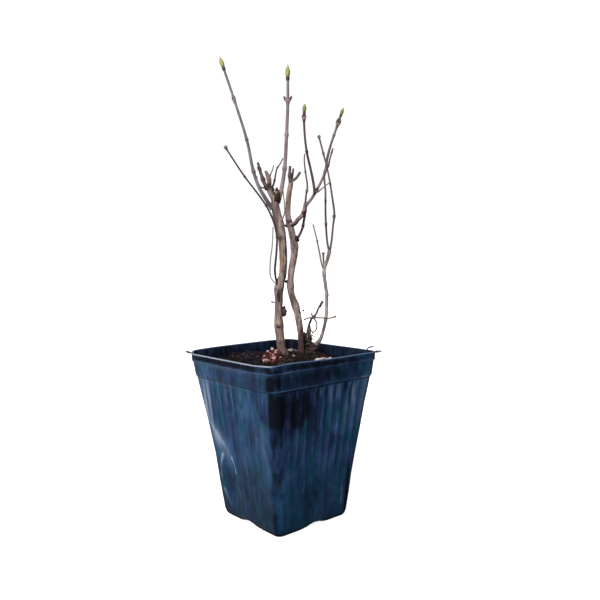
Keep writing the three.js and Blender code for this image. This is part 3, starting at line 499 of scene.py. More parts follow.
def young_bark(name, dark, light):
    """Smooth bark of last year's growth, with a waxy sheen and fine lengthwise streaks."""
    s = Shader(name)
    patches = s.noise(160, detail=3, stretch=(1, 1, 0.3))
    base = s.ramp(patches, (0.33, dark), (0.68, light))
    warts = s.span(s.cells(760, stretch=(1, 1, 0.6)), 0.17, 0.07)
    spotted = s.mix(s.math("MULTIPLY", warts, 0.45), base, lighter(light, 38))
    colour = s.turn(spotted, darker(dark, 0.45), s.attribute("tone"), 0.1, 1.0, 0.8)
    s.bump(s.noise(1500, detail=3, stretch=(1, 1, 0.3)), 0.05, 0.6)
    return s.finish(colour, 0.58, specular=0.35)


def bud_scale(name, base, edge):
    """A bud's scale: its tone turns towards `edge` at the margin and the tip."""
    s = Shader(name)
    mottle = s.noise(900, detail=3)
    body = s.ramp(mottle, (0.3, darker(base, 0.86)), (0.7, lighter(darker(base, 1.08), 0)))
    colour = s.turn(body, edge, s.attribute("tone"), 0.25, 1.0)
    s.bump(s.noise(2200, detail=2, stretch=(1, 1, 0.3)), 0.04, 0.5)
    return s.finish(colour, 0.5, specular=0.4)


def earth(name, dark, light, scale=900, rough=0.95):
    """Soil, crumbs, chips and split wood."""
    s = Shader(name)
    colour = s.ramp(s.noise(scale, detail=5, roughness=0.7), (0.35, dark), (0.7, light))
    s.bump(s.noise(1.6 * scale, detail=5, roughness=0.7), 0.25, 0.9)
    return s.finish(colour, rough, specular=0.2)


BARE_WOOD_AND_PAINTED_LIGHT = (168, 136, 102)
DARK_RED_AND_PAINTED_SHADE = (66, 40, 44)
PLASTIC = pot_plastic()
OLD_BARK = bark("old_bark", (98, 76, 76), (148, 123, 118), (212, 192, 180), (44, 30, 34))
MAUVE_BARK = bark("mauve_bark", (98, 76, 80), (146, 124, 124), (188, 168, 164), (44, 32, 38), depth=0.08)
GREY_BARK = bark("grey_bark", (104, 88, 88), (160, 144, 140), (216, 204, 198), (44, 34, 38), depth=0.08)
DEAD_WOOD = bark("dead_wood", (28, 25, 22), (54, 49, 40), (94, 88, 68), (12, 10, 12), depth=0.3)
KNOT_WOOD = bark("knot_wood", (38, 24, 34), (68, 46, 54), (108, 84, 86), (16, 10, 16), depth=0.3)
BROKEN_WOOD = bark("broken_wood", (30, 20, 16), (58, 42, 29), (98, 77, 50), (12, 8, 8), depth=0.3)
MAUVE_SHOOT = young_bark("mauve_shoot", (108, 96, 99), (156, 144, 146))
PINK_SHOOT = young_bark("pink_shoot", (134, 116, 120), (184, 165, 170))
DARK_SHOOT = young_bark("dark_shoot_bark", (62, 42, 48), (102, 82, 84))
GREY_TWIG = young_bark("grey_twig", (122, 116, 110), (166, 160, 152))
BROWN_TWIG = young_bark("brown_twig", (86, 74, 74), (132, 118, 116))
BUD_GREEN = bud_scale("bud_green", (198, 194, 122), (240, 216, 190))
BUD_LEAF = bud_scale("bud_leaf", (152, 166, 92), (212, 202, 150))
BUD_NECK = bud_scale("bud_neck", (92, 72, 66), (178, 152, 126))
BUD_TAN = bud_scale("bud_tan", (176, 158, 138), (148, 124, 108))
BUD_PINK = bud_scale("bud_pink", (186, 156, 144), (220, 192, 178))
SOIL_EARTH = earth("soil_earth", (6, 4, 8), (24, 18, 22))
DARK_CRUMB = earth("dark_crumb", (8, 5, 10), (36, 27, 34))
BLUE_CRUMB = earth("blue_crumb", (28, 26, 38), (70, 65, 80))
BROWN_CRUMB = earth("brown_crumb", (27, 14, 17), (58, 36, 37))
OLIVE_CRUMB = earth("olive_crumb", (16, 16, 12), (52, 50, 38))
TAN_CRUMB = earth("tan_crumb", (48, 40, 34), (98, 84, 68))
GREY_CRUMB = earth("grey_crumb", (84, 80, 100), (158, 154, 168))
PALE_CRUMB = earth("pale_crumb", (182, 168, 160), (224, 214, 204))
RED_CHIP = earth("red_chip", (60, 24, 26), (124, 66, 62), scale=600)
PINK_CHIP = earth("pink_chip", (158, 108, 104), (236, 196, 188), scale=600)
BROWN_CHIP = earth("brown_chip", (34, 11, 13), (82, 32, 30), scale=600)
ORANGE_CHIP = earth("orange_chip", (104, 60, 50), (164, 114, 94), scale=600)
CREAM_WOOD = earth("cream_wood", (228, 208, 200), (254, 244, 238), scale=500, rough=0.85)
TORN_PLASTIC = earth("torn_plastic", (88, 90, 88), (156, 156, 146), scale=420, rough=0.5)


# ---------------------------------------------------------------- pot

def dent_depth(points):
    """How far the left wall is pushed in."""
    x, y, z = points.T
    towards_left = (-x - 0.6 * np.abs(y)) / DENT_FADE
    depth = np.zeros(len(points))
    for along, up, length, width, lean, deepest in DENTS:
        c, s = math.cos(math.radians(lean)), math.sin(math.radians(lean))
        across, rise = y - along, z - up
        lengthwise = (rise * c + across * s) / length
        widthwise = (across * c - rise * s) / width
        depth += deepest * np.exp(-(lengthwise ** 2) - widthwise ** 2)
    return np.where(x > -20, 0, depth * np.clip(towards_left, 0, 1))


def rim_bow(points):
    """How far the thin collar is bowed up, or sags, along each side."""
    x, y, z = points.T
    risen = np.clip((z - LEDGE) / COLLAR_DEPTH, 0, 1)
    on_x = RIM_BOW_X * np.maximum(0, x / RIM_HALF) ** 8 * np.maximum(0, 1 - (y / RIM_HALF) ** 4)
    on_y = RIM_BOW_Y * np.maximum(0, y / RIM_HALF) ** 8 * np.maximum(0, 1 - (x / RIM_HALF) ** 4)
    on_back = smoothstep(-3, 3, x + y)
    lift = RIM_BACK_LIFT * smoothstep(30, 57, y) * on_back
    sag = RIM_LEFT_SAG * smoothstep(30, 57, -x) * (1 - on_back) * smoothstep(-57, -30, y)
    wave = RIM_RIGHT_LIFT * smoothstep(30, 57, -y) * np.exp(-((x + 36) / 22) ** 2)
    return risen * (on_x + on_y + lift - sag + wave)


def on_left(points):
    """How far each point belongs to the left wall, from 0 round the corners to 1."""
    return smoothstep(-1, 3, -points[:, 0] - np.abs(points[:, 1]))


def fold_share(points, column):
    """The folds' height in millimetres, for column 2, or their paleness, a painted highlight, for column 3,
    at each point.
    """
    face = points[:, 1:]
    total = np.zeros(len(points))
    for fold in FOLDS:
        total += fold[column] * np.exp(-(near_line(face, fold[0]) / fold[1]) ** 2)
    return total * on_left(points)


def mark_tone(along, up, marks):
    """The tone that soft-edged marks of painted light and shade give a wall."""
    places = np.column_stack([along, up])
    wander = 0.35 * noise(np.column_stack([along / 3.5, up / 6, 0 * up]), seed=9)
    tone = np.zeros(len(places))
    for centre, height, half_width, half_height, strength in marks:
        away = ((along - centre) / half_width) ** 4 + np.abs((up - height) / half_height) ** 3
        ragged = min(1, half_width / 4) * wander * (away > 0.15)
        share = strength * np.exp(-np.maximum(away + ragged, 0))
        tone = np.where(np.abs(share) > np.abs(tone), share, tone + 0.3 * share)
    return tone


def band(offset, half):
    """A soft band's strength at an offset from its middle."""
    return np.exp(-((offset / half) ** 2))


def outside_tone(points):
    """Each outside point's tone, its painted light and shade. The two back walls have the marks of the walls
    that they lie opposite to.
    """
    x, y, z = points.T
    tone = np.zeros(len(points))
    for turn in (0, math.pi):
        across, back, _ = turned(points, turn).T
        right_share = smoothstep(-7, -3.5, -back - np.abs(across))
        left_share = smoothstep(-1, 1.5, -across - np.abs(back))
        tone += right_share * mark_tone(across, z, RIGHT_WALL_PAINTED_LIGHT)
        tone += left_share * mark_tone(back, z, LEFT_WALL_PAINTED_LIGHT)
        near_corner = smoothstep(10, -45, across)
        # A painted highlight along the top of the ledge on the right wall, stronger near the front corner.
        tone += (0.35 + 0.5 * near_corner) * right_share * band(z - LEDGE - 0.9, 0.8)
        # A painted highlight along the lip's lower edge, brighter near the front corner.
        lip_highlight = band(z - POT_HEIGHT + LIP_DEPTH - 0.1, 0.6)
        tone += ((0.34 + 0.5 * near_corner) * right_share + 0.45 * left_share) * lip_highlight
        # A faint painted light just under the ledge, against the shade of its overhang.
        tone += (0.12 * right_share + 0.22 * left_share) * band(z - LEDGE + 0.7, 1.2)
    # The folds' painted highlights.
    tone += fold_share(points, 3)
    # The rim's pale edge: partly worn, whitened plastic, partly a painted highlight, brighter on the left
    # wall and dimmer on the right.
    rim = smoothstep(POT_HEIGHT - RIM_THICKNESS - 0.1, POT_HEIGHT - RIM_THICKNESS + 0.15, z)
    rim_wear_and_highlight = 0.55 + 0.42 * on_left(points) - 0.18 * smoothstep(-1, 3, -y - np.abs(x))
    tone = tone * (1 - rim) + rim_wear_and_highlight * rim
    # Painted shade along the foot's bottom edge.
    return tone - 0.9 * smoothstep(3.4, 0.8, z)


def rib_inset(along, half, share):
    """How deep the wall lies between its ribs, which stand at the odd marks along a face."""
    mark = (along / (half * RIBBED_SHARE) + 1) * RIBS
    from_rib = np.abs((mark % 2) - 1)
    between = smoothstep(0.2, 0.52, from_rib)
    return share * RIB_DEPTH * between * (np.abs(mark - RIBS) < RIBS + 0.999)


def square_ring(z, half, corner, share=0.0, face_points=112, corner_points=9):
    """A rounded square seen from above, anticlockwise."""
    centre = half - corner
    along = np.linspace(-centre, centre, face_points)
    inset = rib_inset(along, half, share) if share > 0 else 0 * along
    face = np.column_stack([along, inset - half, np.full(face_points, z)])
    angle = (np.arange(1, corner_points + 1) / (corner_points + 1) - 1) * math.pi / 2
    arc = np.column_stack([
        centre + corner * np.cos(angle),
        -centre + corner * np.sin(angle),
        np.full(corner_points, z),
    ])
    side = np.concatenate([face, arc])
    return np.concatenate([turned(side, quarter * math.pi / 2) for quarter in range(4)])


def arch_lift(x, y):
    """How far the arches between the feet lift the pot's underside."""
    def lift(offset):
        return ARCH_HEIGHT * smoothstep(ARCH_HALF, ARCH_CROWN_HALF, np.abs(offset))
    return np.maximum(lift(x), lift(y))


def pot_rings():
    """The pot's rings up its outside to the ledge, then round the rim and down its inside to the floor."""
    heights = np.concatenate([np.arange(0, 6, 0.75), np.arange(6, LEDGE - 0.4, 1.3), [LEDGE - 0.05]])
    taper = [np.interp(heights, POT_TAPER[:, 0], POT_TAPER[:, column]) for column in (1, 2, 3)]
    body = list(zip(heights, *taper))
    lip = POT_HEIGHT - LIP_DEPTH
    under = POT_HEIGHT - RIM_THICKNESS
    collar = [
        (LEDGE, 54.6, 7.6, 0),
        (LEDGE + 0.3, 54.85, 7.8, 0),
        (LEDGE + 1.0, 55.1, 7.8, 0),
        (LEDGE + 2.0, 55.4, 7.5, 0),
        (LEDGE + 4.5, 55.6, 7.2, 0),
        (LEDGE + 7.0, 55.8, 7.0, 0),
        (LEDGE + 10.0, 56.1, 6.8, 0),
        (lip - 0.4, RIM_HALF - 1.05, 6.5, 0),
        (lip - 0.1, RIM_HALF - 0.6, 6.2, 0),
        (lip + 0.4, RIM_HALF - 0.5, 6, 0),
        (lip + 1.2, RIM_HALF - 0.48, 6, 0),
        (lip + 3.0, RIM_HALF - 0.45, 6, 0),
        (under - 0.5, RIM_HALF - 0.4, 6, 0),
        (under, RIM_HALF - 0.3, 6, 0),
        (under + 0.1, RIM_HALF - 0.05, 6, 0),
        (under + 0.3, RIM_HALF, 6, 0),
        (POT_HEIGHT - 0.2, RIM_HALF, 6, 0),
        (POT_HEIGHT, RIM_HALF - 0.2, 6, 0),
        (POT_HEIGHT, RIM_HALF - 1.5, 5, 0),
        (POT_HEIGHT - 0.3, RIM_HALF - 1.9, 5, 0),
        (lip, RIM_HALF - 2.1, 5, 0),
        (LEDGE + 2, 55.2 - WALL, 6.5, 0),
        (LEDGE + 0.4, 54 - WALL - RIB_DEPTH, 7, 0),
    ]
    inner = [
        (z, half - WALL - RIB_DEPTH, corner - WALL, 0)
        for z, half, corner, _ in POT_TAPER[3:][::-1]
    ]
    floor = [(FLOOR_TOP + 1, 36.4, 5, 0), (FLOOR_TOP, 35.5, 4, 0)]
    return body, collar + inner + floor


def pot_shell():
    outside, rest = pot_rings()
    foot = square_ring(*outside[0])
    underside = [foot * (share, share, 1) for share in np.linspace(0.03, 0.985, 30)]
    rings = underside + [square_ring(*ring) for ring in outside + rest]
    floor = square_ring(*rest[-1])
    rings += [floor * (share, share, 1) for share in (0.66, 0.33, 0.05)]
    points = np.concatenate(rings)
    count = len(foot)

    lifted = np.maximum(points[:, 2], arch_lift(points[:, 0], points[:, 1]))
    on_outside = np.arange(len(points)) < count * (len(underside) + len(outside))
    points[:, 2] = np.where(on_outside & (points[:, 2] < ARCH_HEIGHT), lifted, points[:, 2])

    outer = np.arange(len(points)) < count * (len(underside) + len(outside) + RIM_RINGS)
    # Painted shade on the inside walls, deeper towards the back corner.
    towards_back = smoothstep(80, 100, points[:, 0] + points[:, 1])
    tone = np.where(outer, outside_tone(points), INSIDE_SHADE - 0.3 * towards_back)
    points[:, 2] += rim_bow(points)
    points[:, 0] += dent_depth(points)
    points[:, 0] -= np.where(on_outside, fold_share(points, 2), 0)
    away = np.linalg.norm(points[:, :2], axis=1, keepdims=True)
    outward = points[:, :2] / np.maximum(away, 1)
    warp = 0.28 * noise(points / (34, 34, 46), seed=5) + 0.1 * noise(points / (11, 11, 19), seed=6)
    body_share = smoothstep(4, 30, points[:, 2]) * smoothstep(POT_HEIGHT, LEDGE, points[:, 2])
    points[:, :2] += outward * (np.minimum(warp, 0.1) * body_share)[:, None]

    mesh = Mesh()
    mesh.loft(points.reshape(-1, count, 3), tone=np.append(tone, [INSIDE_SHADE, INSIDE_SHADE]))
    pot = mesh.build("pot_shell", [PLASTIC])
    cut_drain_holes(pot)
    return pot


def cut_drain_holes(pot):
    cutter = Mesh()
    angle = circle(28)
    across, along = DRAIN_HOLE_RADIUS * np.cos(angle), DRAIN_HOLE_RADIUS * np.sin(angle)
    ring = np.column_stack([DRAIN_HOLE_OFFSET + across, along, 0 * angle])
    for quarter in range(4):
        ends = np.stack([ring - (0, 0, 2), ring + (0, 0, 3 * FLOOR_TOP)])
        cutter.loft(turned(ends, quarter * math.pi / 2))
    tool = cutter.build("drain_cutter", [])
    change = pot.modifiers.new("drain", "BOOLEAN")
    change.object = tool
    change.operation = "DIFFERENCE"
    change.solver = "MANIFOLD"
    evaluated = pot.evaluated_get(bpy.context.evaluated_depsgraph_get())
    cut = bpy.data.meshes.new_from_object(evaluated)
    pot.modifiers.remove(change)
    pot.data = cut
    bpy.data.objects.remove(tool)


def rim_ears():
    """The torn, twisted ends of the rim past two corners, and the torn strip that curls up near one."""
    mesh = Mesh()
    for angle, curl, twist, dark_faces in ((0.75 * math.pi, 1.0, 0.62, 0), (-0.25 * math.pi, 0.5, 0.16, 36)):
        reach = np.linspace(EAR_REACH - EAR_ROOT, EAR_REACH - 0.1, 18)
        half_width = np.interp(reach, [reach[0], EAR_REACH - 4, EAR_REACH], [EAR_WIDTH / 2, 3, 0.4])
        half_width += 0.16 * np.sin(reach * 2.3)
        rise = curl * ((reach - reach[0]) / EAR_ROOT) ** 2
        roll = twist * smoothstep(1, 5, reach - reach[0])
        sections = []
        for x, half, z, turn in zip(reach, half_width, rise, roll):
            c, s = math.cos(turn), math.sin(turn)
            corners = [(half * side, EAR_HALF_THICKNESS * level) for side, level in STRIP_CORNERS]
            sections.append([(x, a * c - b * s, POT_HEIGHT - 0.31 + z + a * s + b * c) for a, b in corners])
        rings = turned(np.array(sections), angle)
        pale_faces = len(loft_faces(*rings.shape[:2])) - dark_faces
        mesh.loft(rings, [1] * dark_faces + [0] * pale_faces, tone=-0.3)
    rings = []
    _, places, directions, thick = Limb(TORN_STRIP).samples(0.5)
    for place, along, high in zip(places, directions, thick):
        over = 0.5 * high * np.array((0, -along[2], along[1]))
        rings.append([place - over * level + (0.5 * side, 0, 0) for side, level in STRIP_CORNERS])
    mesh.loft(rings, 1, tone=-0.2)
    return mesh.build("rim_ears", [TORN_PLASTIC, PLASTIC], smooth=False)


# ---------------------------------------------------------------- soil and what lies on it

def soil_height(x, y):
    """The soil's height at a point of the pot's frame."""
    c, s = math.cos(-PLANT_TURN), math.sin(-PLANT_TURN)
    seen_x, seen_y = c * x - s * y, s * x + c * y
    away = (seen_x - MOUND_X) ** 2 + (seen_y - MOUND_Y) ** 2
    mound = MOUND_HEIGHT * np.exp(-away / (2 * MOUND_SPREAD ** 2))
    lumps = 0.5 * np.sin(0.31 * x + 1) * np.cos(0.27 * y) + 0.3 * np.sin(0.7 * x - 0.6 * y)
    return SOIL_EDGE + SOIL_TILT * x + mound + lumps


def soil_top(x, y):
    """The soil's height with its crumbly relief."""
    flat = np.column_stack([x, y, 0 * x])
    coarse, middling, fine = (noise(flat / size, seed) for size, seed in ((3.1, 21), (1.4, 22), (0.7, 23)))
    return soil_height(x, y) + (0.5 * coarse + 0.35 * middling + 0.2 * fine)


def soil_body():
    rings = []
    for z in (FLOOR_TOP + 0.3, *np.arange(12, 119, 5.0), 118.6):
        half = np.interp(z, POT_TAPER[:, 0], POT_TAPER[:, 1]) - WALL - RIB_DEPTH - 0.6
        ring = square_ring(z, half, 6, face_points=60, corner_points=6)
        ring[:, 0] += 1.3 * dent_depth(ring)
        rings.append(ring)
    brim = square_ring(0, SOIL_HALF, 6, face_points=60, corner_points=6)
    for share in np.linspace(1, 0.012, 84):
        ring = brim * (share, share, 1)
        ring[:, 2] = soil_top(ring[:, 0], ring[:, 1])
        rings.append(ring)
    mesh = Mesh()
    mesh.loft(rings)
    return mesh.build("soil_body", [SOIL_EARTH])


GOLD = (1 + 5 ** 0.5) / 2
LUMP_CORNERS = [(-1, GOLD, 0), (1, GOLD, 0), (-1, -GOLD, 0), (1, -GOLD, 0), (0, -1, GOLD), (0, 1, GOLD),
                (0, -1, -GOLD), (0, 1, -GOLD), (GOLD, 0, -1), (GOLD, 0, 1), (-GOLD, 0, -1), (-GOLD, 0, 1)]
LUMP_FACES = [(0, 11, 5), (0, 5, 1), (0, 1, 7), (0, 7, 10), (0, 10, 11), (1, 5, 9), (5, 11, 4), (11, 10, 2),
              (10, 7, 6), (7, 1, 8), (3, 9, 4), (3, 4, 2), (3, 2, 6), (3, 6, 8), (3, 8, 9), (4, 9, 5),
              (2, 4, 11), (6, 2, 10), (8, 6, 7), (9, 8, 1)]


def lump(random, size, flatness):
    """A small angular crumb: a ball of few faces, pushed about and squashed, turned at random."""
    points = np.array(LUMP_CORNERS, float) / math.hypot(1, GOLD)
    points *= 0.75 + 0.5 * random.random((len(points), 1))
    points *= (1, 0.55 + 0.4 * random.random(), flatness)
    spin, tip = 2 * math.pi * random.random(), 0.9 * (random.random() - 0.5)
    c, s = math.cos(tip), math.sin(tip)
    points = points @ np.array([(c, 0, -s), (0, 1, 0), (s, 0, c)])
    return turned(points, spin) * size


def to_pot(x, y):
    """A place of the plant's frame in the pot's frame."""
    return turned([(x, y, 0)], PLANT_TURN)[0][:2]


def scatter(mesh, random, centre, reach, count, sizes, slots, flatness, lift=0.2):
    """Crumbs strewn round a place of the plant's frame, thinning outwards."""
    for _ in range(count):
        angle = 2 * math.pi * random.random()
        share = random.random() ** 0.6
        seen = centre[0] + reach[0] * share * math.cos(angle), centre[1] + reach[1] * share * math.sin(angle)
        x, y = to_pot(*seen)
        if max(abs(x), abs(y)) > SOIL_HALF - 1.5:
            continue
        size = sizes[0] + (sizes[1] - sizes[0]) * random.random() ** 2
        crumb = lump(random, size, flatness) + (x, y, soil_height(x, y) + lift * size)
        mesh.add(crumb, LUMP_FACES, slots[int(random.random() * len(slots))])


# Crumbs on the soil: centre and reach in the plant's frame, count, least and most size, the slots of the
# materials that they take, flatness and, where it isn't the usual one, how far they stand out.
CRUMBS = (
    ((0, 0), (74, 74), 3200, (0.4, 1.7), [0, 0, 0, 0, 0, 0, 0, 0, 1, 4], 0.6),
    ((-32, 26), (15, 20), 260, (0.9, 2.6), [0, 0, 1, 1, 4, 2, 5], 0.7, 0.5),
    ((22, 16), (13, 24), 620, (0.6, 2.4), [2, 2, 2, 0, 0, 1], 0.7, 0.4),
    ((4, 10), (12, 34), 420, (0.5, 2.0), [2, 0, 0, 1], 0.6),
    ((8, -8), (14, 22), 260, (0.5, 1.6), [2, 1, 0, 0], 0.6),
    ((0, 0), (70, 70), 40, (0.3, 0.8), [3], 0.7),
    ((5, 54), (5, 5), 7, (1.4, 2.4), [3], 0.75, 0.9),
    ((7, 50), (8, 12), 40, (0.8, 2.0), [4, 4, 0], 0.6),
    ((9.4, 8.9), (0.8, 0.8), 3, (0.9, 1.3), [3], 0.8, 0.8),
    ((2, -13), (8, 20), 330, (0.5, 1.9), [5, 5, 2, 1, 0], 0.65, 0.35),
    ((8, 53), (7, 9), 22, (1.0, 2.3), [6, 6, 4], 0.7, 0.6),
    ((33, 34), (9, 12), 46, (0.8, 2.2), [1, 1, 0], 0.35, 0.4),
)


def soil_crumbs():
    random = np.random.default_rng(31)
    mesh = Mesh()
    for crumbs in CRUMBS:
        scatter(mesh, random, *crumbs)
    materials = [DARK_CRUMB, BROWN_CRUMB, OLIVE_CRUMB, PALE_CRUMB, BLUE_CRUMB, TAN_CRUMB, GREY_CRUMB]
    return mesh.build("soil_crumbs", materials, smooth=False)


def heap_place(share, angle, spread=1.0):
    """A place on the chip heap's surface, in the plant's frame."""
    x = HEAP_X + spread * HEAP_REACH_X * share * math.cos(angle)
    y = HEAP_Y + spread * HEAP_REACH_Y * share * math.sin(angle)
    rise = HEAP_HEIGHT + HEAP_LEAN * float(smoothstep(-6, 7, x - HEAP_X))
    return np.array((x, y, soil_height(*to_pot(x, y)) + rise * (1 - share ** 2)))


# The slots that the heap's chips take by chance, then its single chunks: place, size and slot.
CHIP_SLOTS = [0, 0, 0, 0, 1, 2, 2, 2, 2, 2, 1, 3]
CHUNKS = (
    ((-10, 22, 138.2), 2.3, 4), ((-9, 20, 139.6), 1.9, 4), ((-13.6, 24, 137), 1.6, 4),
    ((-14, 6, 137.2), 1.9, 1), ((-13.6, 14, 137), 1.6, 1), ((-11.6, -12, 136.6), 2.0, 3),
    ((-7, -10, 137.2), 2.1, 1), ((-11.4, -20, 135.6), 1.9, 1),
)


def bark_chips():
    """The heap of reddish chips, higher towards the left stem that it lies against, with pale chunks."""
    random = np.random.default_rng(47)
    mesh = Mesh()
    shares, angles = np.linspace(1, 0.03, 18), circle(44)
    rings = np.stack([[heap_place(share, angle, 0.93) for angle in angles] for share in shares])
    rings[:, :, 2] += 0.5 * noise(rings.reshape(-1, 3) / 1.3, seed=41).reshape(rings.shape[:2]) - 0.2
    rings[0, :, 2] -= 1.5
    mesh.loft(rings, 2)
    for i in range(HEAP_CHIPS):
        share = math.sqrt((i + 0.5) / HEAP_CHIPS)
        size = 0.8 + 1.5 * random.random() ** 1.8
        lift = (0.9 * random.random() - 0.1) * size
        place = heap_place(share, i * GOLDEN_ANGLE + 0.6 * random.random()) + (0, 0, lift)
        slot = int(random.choice(CHIP_SLOTS))
        mesh.add(lump(random, size, 0.75) + place, LUMP_FACES, slot)
    for place, size, slot in CHUNKS:
        mesh.add(lump(random, size, 0.85) + place, LUMP_FACES, slot)
    materials = [RED_CHIP, PINK_CHIP, BROWN_CHIP, ORANGE_CHIP, PALE_CRUMB]
    return mesh.build("bark_chips", materials, PLANT_TURN, smooth=False)


def splinter():
    """The pale split of wood, with a raised knuckle near one end, its crumbs, and brown flakes behind it."""
    mesh = Mesh()
    start = np.array((*to_pot(*SPLINTER_FROM), 0))
    end = np.array((*to_pot(*SPLINTER_TO), 0))
    along = unit(end - start)
    across = np.array((-along[1], along[0], 0))
    length = np.linalg.norm(end - start)
    angle = circle(12)
    rings = []
    for share in np.linspace(0, 1, 22):
        x, y, _ = start + along * share * length
        half = 0.5 * SPLINTER_WIDTH * (1 - 0.75 * share ** 2) * (0.85 + 0.15 * math.sin(9 * share))
        thick = 0.85 * (1 - 0.5 * share) + 0.5 * math.exp(-((share - 0.72) / 0.07) ** 2)
        ring = np.outer(half * np.cos(angle), across)
        ring[:, 2] += thick * np.sin(angle)
        rings.append(ring + (x, y, soil_height(x, y) + 1.15 + 0.3 * math.sin(5 * share)))
    mesh.loft(rings)
    random = np.random.default_rng(53)
    for seen, size, flatness, lift, slot in SPLINTER_CRUMBS:
        x, y = to_pot(*seen)
        mesh.add(lump(random, size, flatness) + (x, y, soil_height(x, y) + lift), LUMP_FACES, slot)
    return mesh.build("splinter", [CREAM_WOOD, BROWN_CHIP], smooth=False)


# ---------------------------------------------------------------- limbs

LINE_STEPS = 24  # between two points of a limb's path
NODE_REACH = 0.62  # of the diameter there
STRAND_WIDTH, STRAND_LENGTH = 0.55, 4.2  # of the bark's cracks
COARSE_WIDTH, COARSE_LENGTH = 1.6, 3.4  # of the bark's broad relief
END_PROFILE = ((0.12, 0.9), (0.16, 0.6))  # forward and inward, in radii
END_TONE = 0.35


class Limb:
    """The line of a limb through points (x, y, z, diameter), read by the distance from its foot."""

    def __init__(self, points):
        points = np.array(points, float)
        places, diameters = [], []
        for span in range(len(points) - 1):
            for share in np.arange(LINE_STEPS) / LINE_STEPS:
                places.append(spline_point(points[:, :3], span, share))
                diameters.append(points[span, 3] * (1 - share) + points[span + 1, 3] * share)
        self.places = np.array(places + [points[-1, :3]])
        self.diameters = np.array(diameters + [points[-1, 3]])
        steps = np.linalg.norm(np.diff(self.places, axis=0), axis=1)
        self.along = np.concatenate([[0], np.cumsum(steps)])
        self.length = self.along[-1]

    def at(self, distance):
        distance = min(max(distance, 0), self.length)
        place = np.array([np.interp(distance, self.along, self.places[:, axis]) for axis in range(3)])
        index = min(max(int(np.searchsorted(self.along, distance)), 1), len(self.along) - 1)
        direction = unit(self.places[index] - self.places[index - 1])
        return place, direction, float(np.interp(distance, self.along, self.diameters))

    def samples(self, step):
        """Places, smooth directions and diameters at even steps from foot to tip."""
        count = max(3, round(self.length / step))
        stops = np.linspace(0, self.length, count + 1)
        places = np.column_stack([np.interp(stops, self.along, self.places[:, axis]) for axis in range(3)])
        directions = np.gradient(places, axis=0)
        directions /= np.linalg.norm(directions, axis=1, keepdims=True)
        diameters = np.interp(stops, self.along, self.diameters)
        return stops, places, directions, diameters


def spline_point(points, span, share):
    """A point of the centripetal Catmull-Rom curve through points."""
    p1, p2 = points[span], points[span + 1]
    p0 = points[span - 1] if span > 0 else 2 * p1 - p2
    p3 = points[span + 2] if span + 2 < len(points) else 2 * p2 - p1
    d0, d1, d2 = (math.sqrt(np.linalg.norm(b - a)) for a, b in ((p0, p1), (p1, p2), (p2, p3)))
    t1 = ((p1 - p0) / d0 - (p2 - p0) / (d0 + d1) + (p2 - p1) / d1) * d1
    t2 = ((p2 - p1) / d1 - (p3 - p1) / (d1 + d2) + (p3 - p2) / d2) * d1
    squared, cubed = 3 * (p2 - p1) - 2 * t1 - t2, 2 * (p1 - p2) + t1 + t2
    return p1 + t1 * share + squared * share ** 2 + cubed * share ** 3


def crosswise(directions):
    """Two directions square to each limb direction, the first as near the plant's depth as it can be."""
    towards = np.array((0.08, 1, 0.03))
    directions = np.atleast_2d(directions)
    first = towards - directions * (directions @ towards)[:, None]
    first /= np.linalg.norm(first, axis=1, keepdims=True)
    return first, np.cross(directions, first)


def add_limb(mesh, path, nodes=(), sides=16, step=0.6, swelling=NODE_SWELLING, slot=0, relief=0.0, seed=1,
             knots=(), patches=()):
    """A tapering limb with its nodes, a bark relief, patches of other colour, some of them painted light and
    shade, and rough knots in slot 1.
    """
    limb = Limb(path)
    stops, places, directions, diameters = limb.samples(step)
    radii = diameters / 2
    ridge = np.zeros(len(stops))
    for share in nodes:
        middle = share * limb.length
        wide = NODE_REACH * float(np.interp(middle, stops, diameters))
        radii = radii * (1 + (swelling - 1) * np.exp(-((stops - middle) / wide) ** 2))
        ridge += np.exp(-((stops - middle + 0.45 * wide) / 0.3) ** 2)
    first, second = crosswise(directions)
    angle = circle(sides)[None, :, None]
    around = first[:, None, :] * np.cos(angle) + second[:, None, :] * np.sin(angle)
    flat = (places[:, None, :] + around * radii[:, None, None]).reshape(-1, 3)
    outward = around.reshape(-1, 3)
    radius = np.repeat(radii, sides)
    round_x, round_y, _ = (outward * radius[:, None]).T
    up = np.repeat(stops, sides)
    strands = np.column_stack([round_x / STRAND_WIDTH, round_y / STRAND_WIDTH, up / STRAND_LENGTH])
    broken = smoothstep(-0.3, 0.4, noise(strands / 2.3, seed + 1))
    crack = smoothstep(0.1, 0.75, noise(strands, seed)) * broken
    lumps = np.column_stack([round_x / COARSE_WIDTH, round_y / COARSE_WIDTH, up / COARSE_LENGTH])
    coarse = noise(lumps, seed + 2)
    push = relief * (0.5 * coarse - 0.9 * crack) + 0.06 * radius * np.repeat(ridge, sides)
    turn = np.zeros(len(flat))
    for place, size, strength in patches:
        away = np.linalg.norm((flat - np.array(place)) / np.array(size), axis=1) + 0.35 * coarse
        share = strength * smoothstep(1.25, 0.55, away)
        turn = np.where(np.abs(share) > np.abs(turn), share, turn)
    flat = flat + outward * push[:, None]
    tone = np.clip(crack * min(1.0, relief * 5) + 0.5 * np.repeat(ridge, sides), 0, 1)
    rings = round_end(flat.reshape(len(stops), sides, 3), directions[-1], radii[-1])
    extra = len(END_PROFILE) * sides + 2
    tone = np.concatenate([tone, np.full(extra, END_TONE)])
    mesh.loft(rings, slot, tone, np.concatenate([turn, np.zeros(extra)]))
    for knot in knots:
        add_knot(mesh, *knot, seed=seed)


